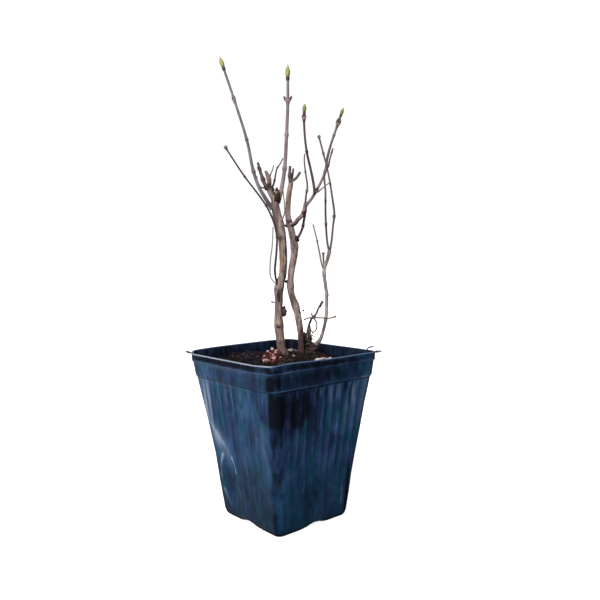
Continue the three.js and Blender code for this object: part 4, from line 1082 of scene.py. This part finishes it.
def add_knot(mesh, place, size, slot=1, seed=1):
    """An old scar, wound or stub: a rough lump sunk in the wood."""
    angle = circle(14)
    round_x, round_y, flat = np.cos(angle), np.sin(angle), 0 * angle
    rings = np.stack([
        np.column_stack([math.cos(up) * round_x, math.cos(up) * round_y, flat + math.sin(up)])
        for up in np.linspace(-0.5 * math.pi, 0.5 * math.pi, 13)[1:-1]
    ])
    ball = with_caps(rings) * np.array(size, float)
    ball[-2:] = ((0, 0, -size[2]), (0, 0, size[2]))
    coarse = noise((ball + place) / (0.45 * max(size)), seed + 31)
    fine = noise((ball + place) / 0.5, seed + 32)
    ball *= (1 + 0.26 * coarse + 0.1 * fine)[:, None]
    mesh.add(ball + place, loft_faces(*rings.shape[:2]), slot, np.clip(0.2 - coarse, 0, 1))


def round_end(rings, direction, radius):
    """Closes a limb's tip, cut flat with a soft edge."""
    middle = rings[-1].mean(axis=0)
    ends = [
        middle + (rings[-1] - middle) * share + direction * forward * radius
        for forward, share in END_PROFILE
    ]
    return np.concatenate([rings, np.stack(ends)])


# A bud scale's grid, how far it wraps round the bud, in radians, and how thick it is.
SCALE_ROWS, SCALE_COLUMNS = 9, 7
SCALE_WRAP = 1.15
SCALE_THICKNESS = 0.12


def add_scale(mesh, foot, direction, outward, length, width, lift, slot):
    """One bud scale: a pointed shell that hugs a bud's side, its margin thinner and of another tone."""
    side = np.cross(direction, outward)
    rows, columns = SCALE_ROWS, SCALE_COLUMNS
    shell, tone = [], []
    for row in range(rows):
        share = row / (rows - 1)
        half = width * (math.sin(math.pi * min(0.72 * share + 0.14, 1)) ** 0.8) * (1 - share ** 3.5)
        out = lift * (0.32 + 0.68 * math.sin(math.pi * (0.07 + 0.8 * share))) * (1 - 0.62 * share ** 2)
        for column in range(columns):
            across = 2 * column / (columns - 1) - 1
            wrap = SCALE_WRAP * across
            place = foot + direction * share * length
            place = place + outward * (out * math.cos(wrap) - 0.12 * lift * across ** 2)
            place = place + side * (half * math.sin(wrap) / math.sin(SCALE_WRAP))
            shell.append(place)
            tone.append(max(abs(across) ** 3, smoothstep(0.6, 1.0, share)))
    top = np.array(shell)
    inside = top - outward * SCALE_THICKNESS - direction * 0.02
    grid = np.arange(rows * columns).reshape(rows, columns)
    faces = []
    for a in grid[:-1, :-1].ravel().tolist():
        quad = (a, a + columns, a + columns + 1, a + 1)
        faces.append(quad)
        faces.append(tuple(len(top) + i for i in quad[::-1]))
    rim = [*grid[:, 0], *grid[-1, 1:], *grid[-2::-1, -1], *grid[0, -2:0:-1]]
    for a, b in zip(map(int, rim), map(int, rim[1:] + rim[:1])):
        faces.append((a, len(top) + a, len(top) + b, b))
    mesh.add(np.concatenate([top, inside]), faces, slot, np.concatenate([tone, tone]))


# A bud's core, as width at shares of its length, and how far up its pairs of scales reach.
BUD_CORE = ([0, 0.2, 0.42, 0.62, 0.85, 1], [0.42, 0.7, 0.9, 0.74, 0.34, 0.06])
SCALE_REACHES = (0.56, 0.78, 0.93)


def add_bud(mesh, foot, direction, length, width, turn, pairs, slots):
    """An egg-shaped bud of a core and overlapping pairs of scales, the lower ones shorter."""
    core_slot, scale_slot = slots
    shares = np.linspace(0, 1, 12)
    first, second = (axis[0] for axis in crosswise(direction))
    angle = circle(14)
    rings = []
    for share, wide in zip(shares, np.interp(shares, *BUD_CORE)):
        centre = foot + direction * share * length
        radius = 0.46 * width * wide
        ring = centre + np.outer(radius * np.cos(angle), first) + np.outer(radius * np.sin(angle), second)
        rings.append(ring)
    tone = np.repeat(smoothstep(0.55, 1.0, shares), len(angle))
    mesh.loft(rings, core_slot, np.concatenate([tone, [0, 1]]))
    for pair, reach in enumerate(SCALE_REACHES[-pairs:]):
        around = turn + pair * math.pi / 2
        outward = first * math.cos(around) + second * math.sin(around)
        lift = (0.5 - 0.03 * pair) * width
        for side in (1, -1):
            add_scale(mesh, foot, direction, side * outward, reach * length, 0.36 * width, lift, scale_slot)


def bud_pairs(mesh, shoot, slots):
    """The opposite pairs of buds of one shoot, some of them grown into short spurs."""
    limb = Limb(shoot["path"])
    random = seeded(shoot["seed"])
    sizes = shoot.get("bud_sizes", [shoot.get("bud_scale", 1)] * len(shoot["nodes"]))
    spread = shoot.get("bud_spread", BUD_SPREAD)
    for pair, share in enumerate(shoot["nodes"]):
        place, direction, diameter = limb.at(share * limb.length)
        first, second = (axis[0] for axis in crosswise(direction))
        turn = shoot.get("bud_turn", 0) + (pair % 2) * math.pi / 2 + 0.5 * (next(random) - 0.5)
        outward = second * math.cos(turn) + first * math.sin(turn)
        for side in (-1, 1):
            spur = SPUR_LENGTH if next(random) < SPUR_CHANCE else 1
            size = sizes[pair] * (0.85 + 0.3 * next(random))
            aim = direction * math.cos(spread) + outward * side * math.sin(spread)
            foot = place + outward * side * 0.25 * diameter
            length = spur * size * BUD_LENGTH + diameter / 4
            add_bud(mesh, foot, aim, length, size * BUD_WIDTH, 0.4, 2, slots)


def tip_bud(mesh, shoot):
    """The swelling green bud at a shoot's end, its neck still in dark scales."""
    limb = Limb(shoot["path"])
    length, width = shoot["tip_bud"]
    place, direction, _ = limb.at(limb.length)
    foot = place - direction * TIP_BUD_SINK * length
    slot = shoot.get("tip_slot", 0)
    neck = shoot.get("neck", 0.2)
    green_foot, neck_foot = (foot + direction * share * length for share in (neck, -0.08))
    add_bud(mesh, green_foot, direction, (1 - neck) * length, width, 0, 3, (slot, slot))
    add_bud(mesh, neck_foot, direction, (0.34 + neck) * length, 0.84 * width, 0.5, 2, (1, 1))


# ---------------------------------------------------------------- the plant

# Stems and boughs: the path's points and diameters, where it swells at nodes, old knots (place, size and,
# where it isn't 1, slot), and patches (place, size, and how far they turn, to dark red below 0, to bare wood
# above). The narrow dark patches along the stems' sides are painted shade, and the cross bough's pale top and
# dark underside are painted light and shade.
STEMS = {
    "left_stem": dict(
        path=[(2, 15, 126, 12.5), (0.4, 15, 134, 10.2), (-1.2, 15, 142, 7.9), (-3.2, 14, 162, 7.4),
            (-3.2, 13, 173, 6.9), (-2.7, 12, 184, 7.2), (-2.4, 11, 194, 7.6), (1.2, 10, 206, 6.3),
            (1.9, 9, 220, 6.6), (0.8, 8.5, 240, 7), (-3, 8, 257, 7.4), (-4.4, 7.4, 266, 6.9),
            (-4, 7, 272, 5.6), (-3.7, 7, 275.4, 4.4)],
        nodes=(0.24, 0.46, 0.82), sides=56, swelling=1.14, relief=0.26, seed=101,
        knots=[((1.4, 15, 173), (2.6, 2.6, 4.6)), ((-6.6, 12, 181.5), (1, 0.7, 0.6)),
            ((-5.4, 7, 276.4), (1, 1, 2.6)), ((-2.2, 7, 276.6), (1, 1, 3)),
            ((-3.4, 10.1, 160.5), (2, 0.9, 1.3))],
        # Painted shade: the narrow dark strips at x 4.6, 2.8, 3.2 and -5.4, along the stem's sides.
        patches=[((-0.6, 10, 151), (3, 5, 9), 0.3), ((-3.7, 10, 165.5), (3.4, 5, 2.6), 0.5),
            ((-0.4, 6, 218), (2.6, 5, 13), 0.8), ((2.6, 5.5, 229), (3, 4, 7), 0.45),
            ((-2.6, 9, 188), (1.8, 4, 6), -1), ((4.6, 9, 229), (1.6, 6, 12), -0.9),
            ((2.8, 10, 192), (1.5, 6, 24), -0.8), ((3.2, 14, 150), (1.6, 8, 16), -0.7),
            ((-3.4, 4.4, 246), (2, 4, 8), -0.35), ((-0.8, 5, 236), (5, 6, 2), -0.5),
            ((-3.6, 4, 262), (6, 6, 9), -0.26), ((-1, 11, 139), (9, 8, 11), -0.55),
            ((-5.4, 11, 148), (1.8, 6, 16), -0.5), ((-1, 11, 170), (8, 8, 12), -0.27)],
    ),
    "middle_stem": dict(
        path=[(16.6, 23, 126, 7.6), (16.2, 23, 138, 6), (15.6, 22, 154, 5.4), (12.2, 19, 175, 6),
            (7.8, 16, 190, 5.7), (8, 14, 204, 5.4), (11.6, 12, 227, 6), (9.6, 11, 241, 5.7),
            (6.5, 10, 255, 4.6), (7.5, 8, 272, 4.4), (9.5, 7, 283, 4.2)],
        nodes=(0.33, 0.445, 0.66, 0.78), sides=48, swelling=1.18, relief=0.2, seed=111,
        knots=[((4.8, 15, 199), (2.2, 1.2, 1.6)), ((14.2, 13, 235), (1.8, 1.6, 1.8)),
            ((5.2, 10, 247), (1.7, 1.1, 1.4)), ((10.4, 9.4, 248), (2.3, 1.7, 1.7)),
            ((12.4, 11.6, 236), (2.6, 1.6, 2.4))],
        # Painted shade: the narrow dark strips at x 18, 12.6 and 8.6, along the stem's sides.
        patches=[((8, 7, 268), (6, 6, 14), 0.5), ((16.2, 21.5, 142), (9, 9, 18), -0.8),
            ((14.4, 10, 236), (2.6, 3, 3), -0.8), ((18, 22, 158), (1.2, 6, 14), -0.7),
            ((8.6, 9, 249.6), (5, 5, 2.8), -0.7), ((12.6, 19, 158), (1.6, 6, 16), -0.5),
            ((8.6, 15, 180), (1.6, 6, 12), -0.4), ((13, 9, 216), (3, 5, 7), 0.3)],
    ),
    "dead_stump": dict(
        path=[(18.6, 32, 126, 11.5), (20, 32, 136, 9.6), (21.6, 31, 145, 7), (22.8, 30, 152, 4),
            (23.6, 30, 160, 2.3), (25.8, 30, 165.6, 2)],
        nodes=(0.72,), sides=44, swelling=1.25, relief=0.6, seed=121, step=0.45,
        knots=[((18.4, 27.4, 144), (2.6, 2.2, 5), 0), ((19.8, 28, 150.6), (2.3, 1.7, 2.6), 0),
            ((22.6, 28.6, 144), (3.2, 2.4, 4.6), 0), ((20, 26.5, 135.5), (6, 3.5, 4.5), 0),
            ((18.6, 30.4, 151.6), (2.6, 1.3, 1.5)), ((24.4, 30.6, 147), (1.6, 1.4, 3.4)),
            ((26.4, 28, 140.5), (2.6, 2.4, 2.4)), ((15.6, 27, 139), (2.4, 2, 2.2)),
            ((22.2, 28, 148.4), (2.6, 1.9, 2.4)), ((23.4, 29.4, 154.4), (1.9, 1.5, 2.2)),
            ((17.4, 28.6, 145), (1.8, 1.8, 3))],
    ),
    "right_stem": dict(
        path=[(24.5, 30, 126, 9.5), (25.4, 30, 136.5, 8), (29, 31.5, 141, 5.6), (33.2, 32, 146, 3.4),
            (35.4, 32, 152, 2.9), (38.7, 30, 167, 2.9), (39.3, 30, 186, 3.1), (37.4, 28, 208, 3),
            (40.6, 29, 218, 2.9), (42.4, 30, 225, 3.5)],
        nodes=(0.4, 0.62, 0.79), sides=36, swelling=1.22, relief=0.12, seed=131,
        knots=[((27.4, 27.6, 138.2), (3.4, 2.2, 2.2)), ((25.6, 27.2, 141), (2.2, 1.6, 1.9))],
        # Painted shade: the narrow dark strip at x 40.4, along the stem's side.
        patches=[((27, 29, 136.5), (11, 10, 7), -1), ((36.2, 30, 156.5), (3, 5, 7), -0.6),
            ((38.4, 29, 170), (2, 3, 1.6), 0.5), ((41, 29, 221), (3, 3, 6), -0.5),
            ((40.4, 29, 190), (1.2, 4, 16), -0.4)],
    ),
    "fork_bough": dict(
        path=[(-3.8, 7, 266, 4.6), (-6.9, 6, 272, 4.3), (-8.8, 5.4, 277, 4), (-8.7, 4, 283.6, 3.6),
            (-9.4, 3, 287.5, 3.7), (-11.4, 1, 292, 2.6)],
        nodes=(0.45, 0.75), sides=32, swelling=1.15, relief=0.18, seed=141,
        knots=[((-11.2, 5, 278.6), (2.4, 1.8, 2)), ((-11.4, 1, 291.6), (1, 1, 1.1))],
        patches=[((-9, 4, 280), (3, 4, 4), -0.8), ((-9.4, 2, 287), (3, 3, 3.4), 0.3)],
    ),
    "cross_bough": dict(
        path=[(7.4, 9.6, 247.4, 4.2), (12, 7.4, 248.6, 3.8), (15, 6, 252, 3.5), (19.6, 4.4, 256.6, 3.7),
            (21.6, 3, 265, 3.4)],
        nodes=(0.7,), sides=32, swelling=1.2, relief=0.16, seed=151,
        knots=[((20.6, 3.8, 254.8), (1.5, 1.2, 1.3))],
        # Painted light and shade: the pale patch on the bough's top and the dark one under it.
        patches=[((15, 5, 254), (4, 4, 2), 0.7), ((13, 6, 247), (5, 5, 1.4), -0.8),
            ((21.4, 2, 257), (3, 4, 3), -0.8)],
    ),
    "right_bough": dict(
        path=[(21.6, 3.2, 263, 2.6), (26.2, 3, 268.4, 2.5), (30, 2, 274.2, 2.4), (36, 0, 285.2, 2),
            (39.4, -2, 294.6, 2.2)],
        nodes=(0.42, 0.9), sides=28, swelling=1.3, relief=0.1, seed=161,
        knots=[((31.2, 1.6, 275.8), (1.6, 1.3, 1.4)), ((29.2, 2, 273), (1.4, 1.3, 1.3))],
        patches=[((30, 1, 275), (3.6, 4, 3.4), -0.8)],
    ),
}

# Shoots and twigs, in the same way. Buds sit at the nodes where a seed is given. A tip bud has a length, a
# width and a neck, the share of it that stands in dark scales.
SHOOTS = {
    "tall_left_shoot": dict(
        path=[(-6.6, 6.4, 261, 4), (-12, 4.6, 269.6, 3.3), (-17.3, 3.4, 279.2, 2.9), (-22, 4, 293.2, 2.7),
            (-26.7, 7, 317.7, 2.4), (-37.1, 10, 352.9, 2.1), (-45.8, 12, 380.2, 2)],
        nodes=(0.28, 0.5, 0.765), bud_sizes=(0.6, 0.5, 1.5), tip_bud=(12.4, 4.6), seed=3, bud_spread=0.1,
    ),
    "tall_middle_shoot": dict(
        path=[(-1.8, 7, 266, 4), (1, 8, 276, 3.6), (4.2, 11, 295, 3.1), (6.3, 13, 322.4, 2.9),
            (7.9, 13, 352, 2.6), (8.2, 14, 371.8, 2.3)],
        nodes=(0.285, 0.555, 0.81), bud_sizes=(0.5, 0.6, 1.9), tip_bud=(13.6, 5.2), seed=7, slot=5,
    ),
    "low_left_twig": dict(
        path=[(-3.6, 8, 196, 2), (-5.3, 3.6, 208, 1.8), (-3.7, 1.6, 224, 1.8), (-3.2, 1, 240, 1.8),
            (-9.4, -3, 259.6, 1.6), (-29.8, -14, 289, 1.4), (-42.4, -20, 309, 1.3)],
        nodes=(0.33, 0.55, 0.78, 0.985), bud_scale=0.35, seed=19, slot=1,
    ),
    "left_hair_twig": dict(
        path=[(-3.6, 10, 196, 1.2), (-9, 8, 203, 1.1), (-9.3, 8, 216, 1), (-7.4, 8.4, 230, 1),
            (-6.4, 8.6, 246, 0.9)],
        slot=2,
    ),
    "right_hair_twig": dict(
        path=[(0.6, 6, 250, 1.2), (3.6, 2.6, 257, 1.1), (3.8, 2, 264, 1), (2.7, 3, 276.6, 0.8)],
        slot=2,
    ),
    "fork_outer_twigs": dict(
        path=[(-7.8, 6, 276, 3.4), (-12.2, 7, 281.4, 3.3), (-14.9, 9, 288.3, 3), (-16.3, 10, 292.7, 2.6),
            (-18.4, 12, 300.8, 2)],
        nodes=(0.16, 0.45, 0.78), bud_scale=0.6, seed=23, slot=1,
        twigs=[
            [(-11.2, 7, 279, 1.3), (-15.9, 8.6, 279.6, 1.2), (-18.6, 8.4, 283.6, 1.1), (-19.5, 8, 289, 1)],
            [(-16.6, 10.4, 294, 1.2), (-19, 9.4, 296.4, 1.1)],
        ],
    ),
    "fork_inner_twig": dict(
        path=[(-7.6, 6, 276.6, 1.8), (-5, 9, 283, 1.6), (-3.8, 11, 288.8, 1.4), (-2.3, 13, 295.8, 1.3),
            (-0.1, 16, 299.4, 1.1), (2.9, 18, 305, 1)],
        nodes=(0.3, 0.68), bud_scale=0.4, seed=29, slot=1,
    ),
    "fork_front_hair": dict(
        path=[(-8.6, 3.6, 286, 1.2), (-7.3, 0.6, 289.4, 1.1), (-5.2, -1.4, 294, 1), (-4.7, -2, 296.4, 0.9)],
        slot=2,
    ),
    "middle_prongs": dict(
        path=[(9.3, 7, 281.5, 3.5), (8.6, 5, 289, 2.6), (9, 4, 296.4, 2.3)],
        nodes=(0.5,), bud_scale=0.5, seed=31, slot=3,
        twigs=[
            [(9.4, 7, 283.6, 2.4), (10.6, 8, 288, 2), (11.8, 9, 295, 1.6)],
            [(9.3, 6.4, 284, 2.8), (11.8, 5, 285, 2.5), (14.2, 4, 286.6, 2.2), (17.4, 2, 291, 2)],
        ],
    ),
    "link_twig": dict(
        path=[(12.4, 12.6, 234, 2.3), (16.4, 13.4, 239.6, 2.1), (19, 12.6, 246, 2), (20.2, 9.4, 252.4, 2),
            (20.8, 5.4, 256, 2)],
        nodes=(0.55,), bud_scale=0.4, seed=37, slot=1,
    ),
    "thin_left_shoot": dict(
        path=[(21.2, 3, 263, 1.8), (22, 0, 271, 1.6), (23.2, -1.6, 279, 1.5), (21.8, -4.6, 290, 1.3),
            (21, -7, 298.5, 1.2), (21.2, -8, 304.6, 1)],
        nodes=(0.28, 0.66), bud_scale=0.5, seed=41, slot=3,
    ),
    "dark_shoot": dict(
        path=[(29.4, 2.2, 273, 2.6), (28.7, 5, 281, 2.3), (26.2, 9, 295, 2.1), (23.5, 12, 308.3, 2.1),
            (22, 15, 322.4, 1.9), (21.5, 17.6, 337, 2), (21.8, 18.6, 343, 1.9)],
        nodes=(0.53, 0.915), bud_sizes=(0.9, 2.1), bud_turn=1.4, neck=0.27, tip_bud=(10.4, 4.3), seed=43,
        slot=1, bud_slot=2, tip_slot=2, bud_spread=0.12,
    ),
    "right_shoot": dict(
        path=[(39, -1.8, 293.6, 2.3), (40, -3, 301, 2.2), (43, -4, 312, 2), (46.3, -6, 321.4, 2),
            (49, -8, 328.5, 2), (51.4, -9, 335.2, 1.8)],
        nodes=(0.62, 0.8), bud_sizes=(0.45, 1.9), tip_bud=(7.6, 3.6), seed=47, tip_slot=2, bud_spread=0.14,
        bud_turn=1.4, neck=0.12,
    ),
    "bough_spur_twig": dict(
        path=[(29.4, 2, 274.4, 1.4), (32.7, -1, 274.9, 1.3), (36.4, -3, 277.4, 1.1), (40.8, -6, 280.7, 0.9)],
        slot=2,
    ),
    "front_whip": dict(
        path=[(42.2, 30, 224, 2), (40.4, 28, 233.6, 1.8), (39.2, 25, 254, 1.8), (39.2, 22, 276, 1.7),
            (38.6, 19.6, 292, 1.7), (41.8, 18, 297.6, 1.6), (43, 16.6, 303, 1.5), (45.8, 15, 312.4, 1.4)],
        nodes=(0.27, 0.5, 0.74, 0.96), bud_scale=0.45, seed=53, slot=3,
    ),
    "back_whip": dict(
        path=[(42.6, 30, 224.4, 2), (44.4, 30.4, 234, 1.8), (46, 31, 248, 1.8), (47.2, 31.4, 257, 1.9),
            (45.4, 33, 274, 1.7), (42.6, 35, 293, 1.6), (38.8, 37, 310, 1.6), (34.6, 38, 327, 1.6)],
        nodes=(0.3, 0.58, 0.84, 0.985), bud_scale=0.45, seed=59, slot=3,
    ),
    "right_side_twig": dict(
        path=[(37.2, 28, 208.4, 1.7), (35, 25.4, 214.6, 1.5), (33.4, 24, 223.3, 1.4),
            (31.2, 21.6, 234.6, 1.2), (27.9, 16, 248, 1)],
        nodes=(0.62,), bud_scale=0.45, seed=61, slot=2,
    ),
    "right_side_stub": dict(
        path=[(37.6, 28.4, 211, 1.7), (37, 29.6, 217, 1.5), (36.9, 30.6, 223.4, 1.9)],
        slot=3,
    ),
    "stump_twigs": dict(
        path=[(25.4, 30, 164.6, 2.1), (29.4, 29, 168.8, 1.8), (32, 27, 174.7, 1.8), (35.2, 25, 179.9, 1.9)],
        nodes=(0.2, 0.93), slot=3,
        twigs=[
            [(26.4, 29.8, 166, 1.5), (34.1, 26, 166, 1.3), (41.4, 23.6, 165.8, 1.2), (46.5, 22, 167.2, 1.3)],
            [(26.6, 30, 166, 1.4), (22.4, 31.6, 165.4, 1.2), (18.7, 32.6, 163.6, 1.1)],
            [(26.6, 30, 166, 1.5), (25.6, 30.4, 170, 1.1)],
            [(27.2, 30.4, 166.4, 1.3), (30, 32, 161, 1.2), (29.8, 33.4, 155, 1.1), (26.4, 34, 151.6, 1.1)],
        ],
    ),
}

# Fine hairs and spurs that only show close up: the slot of their bark, then the path.
HAIRS = (
    (1, [(15.4, 19.6, 170.6, 0.9), (17, 18.6, 172.4, 0.5), (18.4, 18, 173.3, 0.5)]),
    (2, [(-6.2, 12, 181.6, 1), (-7.8, 11.6, 181.5, 1.1), (-8.8, 11.6, 181.9, 0.8)]),
    (1, [(47, 31.4, 255.4, 0.8), (45.6, 31.2, 254.8, 0.6), (45.2, 31.2, 256.4, 0.4)]),
    (1, [(30, 1.6, 274.4, 2), (32, 0.4, 274.5, 1.8), (33.4, 0, 275.2, 1)]),
    (2, [(24.5, 29, 148.4, 0.6), (26.4, 28.6, 149.8, 0.5), (28, 28.4, 149, 0.45), (27.4, 28, 150.8, 0.4)]),
    (2, [(24.6, 28.6, 150, 0.6), (26.8, 28, 151.6, 0.5), (28.6, 28, 150.6, 0.4)]),
    (2, [(23.4, 28, 153, 0.6), (25.6, 27.6, 154.4, 0.5), (26.4, 27.4, 152.6, 0.4)]),
    (2, [(20, 28, 150, 0.6), (18.6, 27, 152.6, 0.5), (19.4, 26.6, 154.4, 0.4)]),
)

# Knobs at the ends of dead twigs: slot, place and size.
KNOBS = (
    (4, (18.6, 18, 173.5), (0.8, 0.8, 0.8)),
    (2, (35.2, 25, 180.2), (1.4, 1.2, 1.3)),
    (4, (33.6, 25.8, 177), (1.1, 1, 1.4)),
    (2, (46.2, 22.2, 167.2), (1.2, 0.9, 1)),
    (4, (26.8, 30, 166), (1.3, 1.2, 1.2)),
    (2, (-42.2, -19.9, 308.8), (1.5, 1.3, 1.6)),
    (2, (34.8, 38, 326.2), (1.5, 1.3, 1.7)),
    (3, (36.9, 30.6, 223), (1.2, 1.1, 1.1)),
    (2, (-8.5, 11.6, 181.8), (1, 0.8, 0.9)),
)


def stem_piece(name, stem):
    usual = MAUVE_BARK if "bough" in name else OLD_BARK
    material = {"dead_stump": DEAD_WOOD, "right_stem": GREY_BARK}.get(name, usual)
    mesh = Mesh()
    add_limb(mesh, **{"step": 0.5, **stem})
    if name == "left_stem":
        add_crown(mesh)
    piece = mesh.build(name + "_bark", [material, KNOT_WOOD, BROKEN_WOOD], PLANT_TURN)
    dress(piece, "dead_wood" if name == "dead_stump" else "bark", name)


# The left stem's broken top: lumps of old wood round a hollow, and splinters that stand up from it.
CROWN_KNOTS = (
    ((-2.5, 5.6, 270.4), (3.2, 2.8, 4.2)),
    ((-4.6, 6, 273.2), (1.7, 1.9, 2.2)),
    ((-0.9, 6.2, 272.8), (1.6, 1.7, 2.8)),
)
CROWN_SPLINTERS = (
    [(-3.5, 6, 272, 2.6), (-3.4, 6, 275.6, 1.7), (-3.2, 6, 278.6, 0.5)],
    [(-5.2, 6.6, 272, 1.9), (-5.4, 6.8, 274.8, 1.2), (-5.5, 6.8, 277, 0.4)],
    [(-1.3, 6.6, 272.6, 2), (-1, 6.8, 275, 1.3), (-0.7, 6.8, 277.2, 0.5)],
    [(0, 7, 271.6, 1.7), (0.7, 7.2, 274, 1), (1, 7.2, 275.4, 0.4)],
    [(-4.4, 8.4, 272.6, 1.6), (-4.5, 8.6, 275, 0.9), (-4.2, 8.6, 276.4, 0.4)],
)


def add_crown(mesh):
    for place, size in CROWN_KNOTS:
        add_knot(mesh, place, size, slot=2, seed=61)
    for path in CROWN_SPLINTERS:
        add_limb(mesh, path, sides=8, step=0.4, slot=2, relief=0.2, seed=63)


STUMP_HAIRS = 16
STUMP_HAIR_WIDTHS = (0.85, 0.75, 0.65, 0.5)


def stump_hairs(mesh):
    """The pale curling hairs round the dead stump's broken top."""
    random = np.random.default_rng(83)
    for _ in range(STUMP_HAIRS):
        place = np.array((22.4, 28.2, 150)) + (random.random(3) - 0.5) * (4.6, 1.2, 11)
        aim = np.array((random.random() - 0.35, -0.5 * random.random(), random.random() - 0.4))
        path = []
        for wide in STUMP_HAIR_WIDTHS:
            path.append((*place, wide))
            place = place + 1.5 * unit(aim)
            aim = unit(aim) + 1.3 * (random.random(3) - (0.5, 0.65, 0.5))
        add_limb(mesh, path, sides=8, slot=2)


def twig_piece():
    mesh = Mesh()
    for shoot in SHOOTS.values():
        slot = shoot.get("slot", 0)
        add_limb(mesh, shoot["path"], shoot.get("nodes", ()), slot=slot, relief=0.03, seed=201, sides=18)
        for path in shoot.get("twigs", ()):
            add_limb(mesh, path, sides=14, slot=slot, relief=0.03, seed=202)
    for slot, path in HAIRS:
        add_limb(mesh, path, sides=8, slot=slot)
    stump_hairs(mesh)
    for slot, place, size in KNOBS:
        add_knot(mesh, place, size, slot, seed=71)
    materials = [MAUVE_SHOOT, DARK_SHOOT, GREY_TWIG, BROWN_TWIG, KNOT_WOOD, PINK_SHOOT]
    dress(mesh.build("twigs", materials, PLANT_TURN), "young_twigs", *SHOOTS)


def bud_pieces():
    side_buds, tip_buds = Mesh(), Mesh()
    for shoot in SHOOTS.values():
        if "seed" in shoot:
            bud_pairs(side_buds, shoot, (1, shoot.get("bud_slot", 0)))
        if "tip_bud" in shoot:
            tip_bud(tip_buds, shoot)
    for mesh, name, materials in (
        (side_buds, "side_buds", [BUD_TAN, BUD_NECK, BUD_PINK]),
        (tip_buds, "tip_buds", [BUD_GREEN, BUD_NECK, BUD_LEAF]),
    ):
        dress(mesh.build(name, materials, PLANT_TURN), "young_twigs")


def dress(piece, slot, *nodes):
    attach(piece, "root")
    if nodes:
        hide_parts(*nodes)


dress(pot_shell(), "pot_plastic", "pot")
dress(rim_ears(), "pot_plastic")
dress(soil_body(), "soil", "soil")
dress(soil_crumbs(), "soil")
dress(bark_chips(), "bark_chips", "bark_heap")
dress(splinter(), "pale_wood", "wood_splinter")
for stem_name, stem_form in STEMS.items():
    stem_piece(stem_name, stem_form)
twig_piece()
bud_pieces()


# ---------------------------------------------------------------- floor, light and camera

CAMERA_PLACE = (15.579, -555.175, 220.401)
CAMERA_PITCH = -0.0657644
CAMERA_ROLL = -0.0160204
FOCAL_PIXELS = 658.174
FRAME_PIXELS = 600
SENSOR_MM = 36.0
FLOOR_HALF = 6000
FLOOR_GLOW = 0.8
FLOOR_GAP = 0.2
SKY_BRIGHT_SIDE = (-0.62, 0.45, 0.5)
SKY_TURN = (-0.8, 0.9)
SKY_LIGHT = (0.08, 0.4)
SKY_SEEN = 1.05


def floor():
    """A white floor. It takes shadows and throws none of its white back on the object."""
    s = Shader("floor_white")
    colour = s.ramp(s.noise(3, detail=2), (0.3, (246, 246, 246)), (0.7, (250, 250, 250)))
    glow = {"Emission_Color": (1, 1, 1, 1), "Emission_Strength": FLOOR_GLOW}
    mesh = Mesh()
    half = FLOOR_HALF
    mesh.add([(-half, -half, 0), (half, -half, 0), (half, half, 0), (-half, half, 0)], [(0, 1, 2, 3)])
    piece = mesh.build("floor", [s.finish(colour, 0.9, specular=0.1, **glow)])
    piece.location.z = -FLOOR_GAP * MM
    piece.visible_glossy = False
    piece.visible_diffuse = False
    piece.visible_shadow = False


def placed(axes, place):
    """The matrix of a thing at a place, whose own axes are the columns of axes."""
    return Matrix([(*row, at) for row, at in zip(axes, place)] + [(0, 0, 0, 1)])


def sun(name, towards, strength, width):
    """A broad, soft light from a direction of the plant's frame, the same all over the floor."""
    data = bpy.data.lights.new(name, "SUN")
    data.energy = strength
    data.angle = math.radians(width)
    place = turned([towards], PLANT_TURN)[0] * MM
    back = unit(place)
    right = unit(np.cross((0, 0, 1), back))
    add_object(name, data).matrix_world = placed(np.column_stack([right, np.cross(back, right), back]), place)


def sky():
    """A white studio that lights the object from behind and the left, and hardly from the front right."""
    world = bpy.data.worlds.new("studio")
    bpy.context.scene.world = world
    tree = Nodes(world)
    dot = tree.node("VectorMath")
    dot.operation = "DOT_PRODUCT"
    tree.put(dot.inputs[0], tree.node("TexCoord").outputs["Generated"])
    tree.put(dot.inputs[1], unit(turned([SKY_BRIGHT_SIDE], PLANT_TURN)[0]))
    light = tree.span(dot.outputs["Value"], *SKY_TURN, *SKY_LIGHT)
    light.node.interpolation_type = "SMOOTHSTEP"
    seen = tree.node("LightPath").outputs["Is Camera Ray"]
    either = tree.node("Mix", Factor=seen, A=light, B=SKY_SEEN)
    tree.fill(tree.nodes["Background"], Color=(1, 1, 1, 1), Strength=either.outputs["Result"])


def camera():
    """The camera that was fitted to the photo. Its numbers are in the plant's frame."""
    pitch, roll = CAMERA_PITCH, CAMERA_ROLL
    right, up = np.array((1, 0, 0)), np.array((0, -math.sin(pitch), math.cos(pitch)))
    back = -np.array((0, math.cos(pitch), math.sin(pitch)))
    across = math.cos(roll) * right + math.sin(roll) * up
    upright = math.cos(roll) * up - math.sin(roll) * right
    axes = turned(np.stack([across, upright, back]), PLANT_TURN).T
    place = turned([CAMERA_PLACE], PLANT_TURN)[0] * MM
    data = bpy.data.cameras.new("camera")
    data.sensor_width = SENSOR_MM
    data.lens = SENSOR_MM * FOCAL_PIXELS / FRAME_PIXELS
    data.clip_start, data.clip_end = 0.01, 50
    view = add_object("camera", data)
    view.matrix_world = placed(axes, place)
    bpy.context.scene.camera = view


floor()
sky()
sun("key", (-310, -820, 480), 2.45, 30)
sun("top", (-100, 200, 900), 0.3, 60)
camera()
bpy.context.scene.view_settings.view_transform = "Standard"
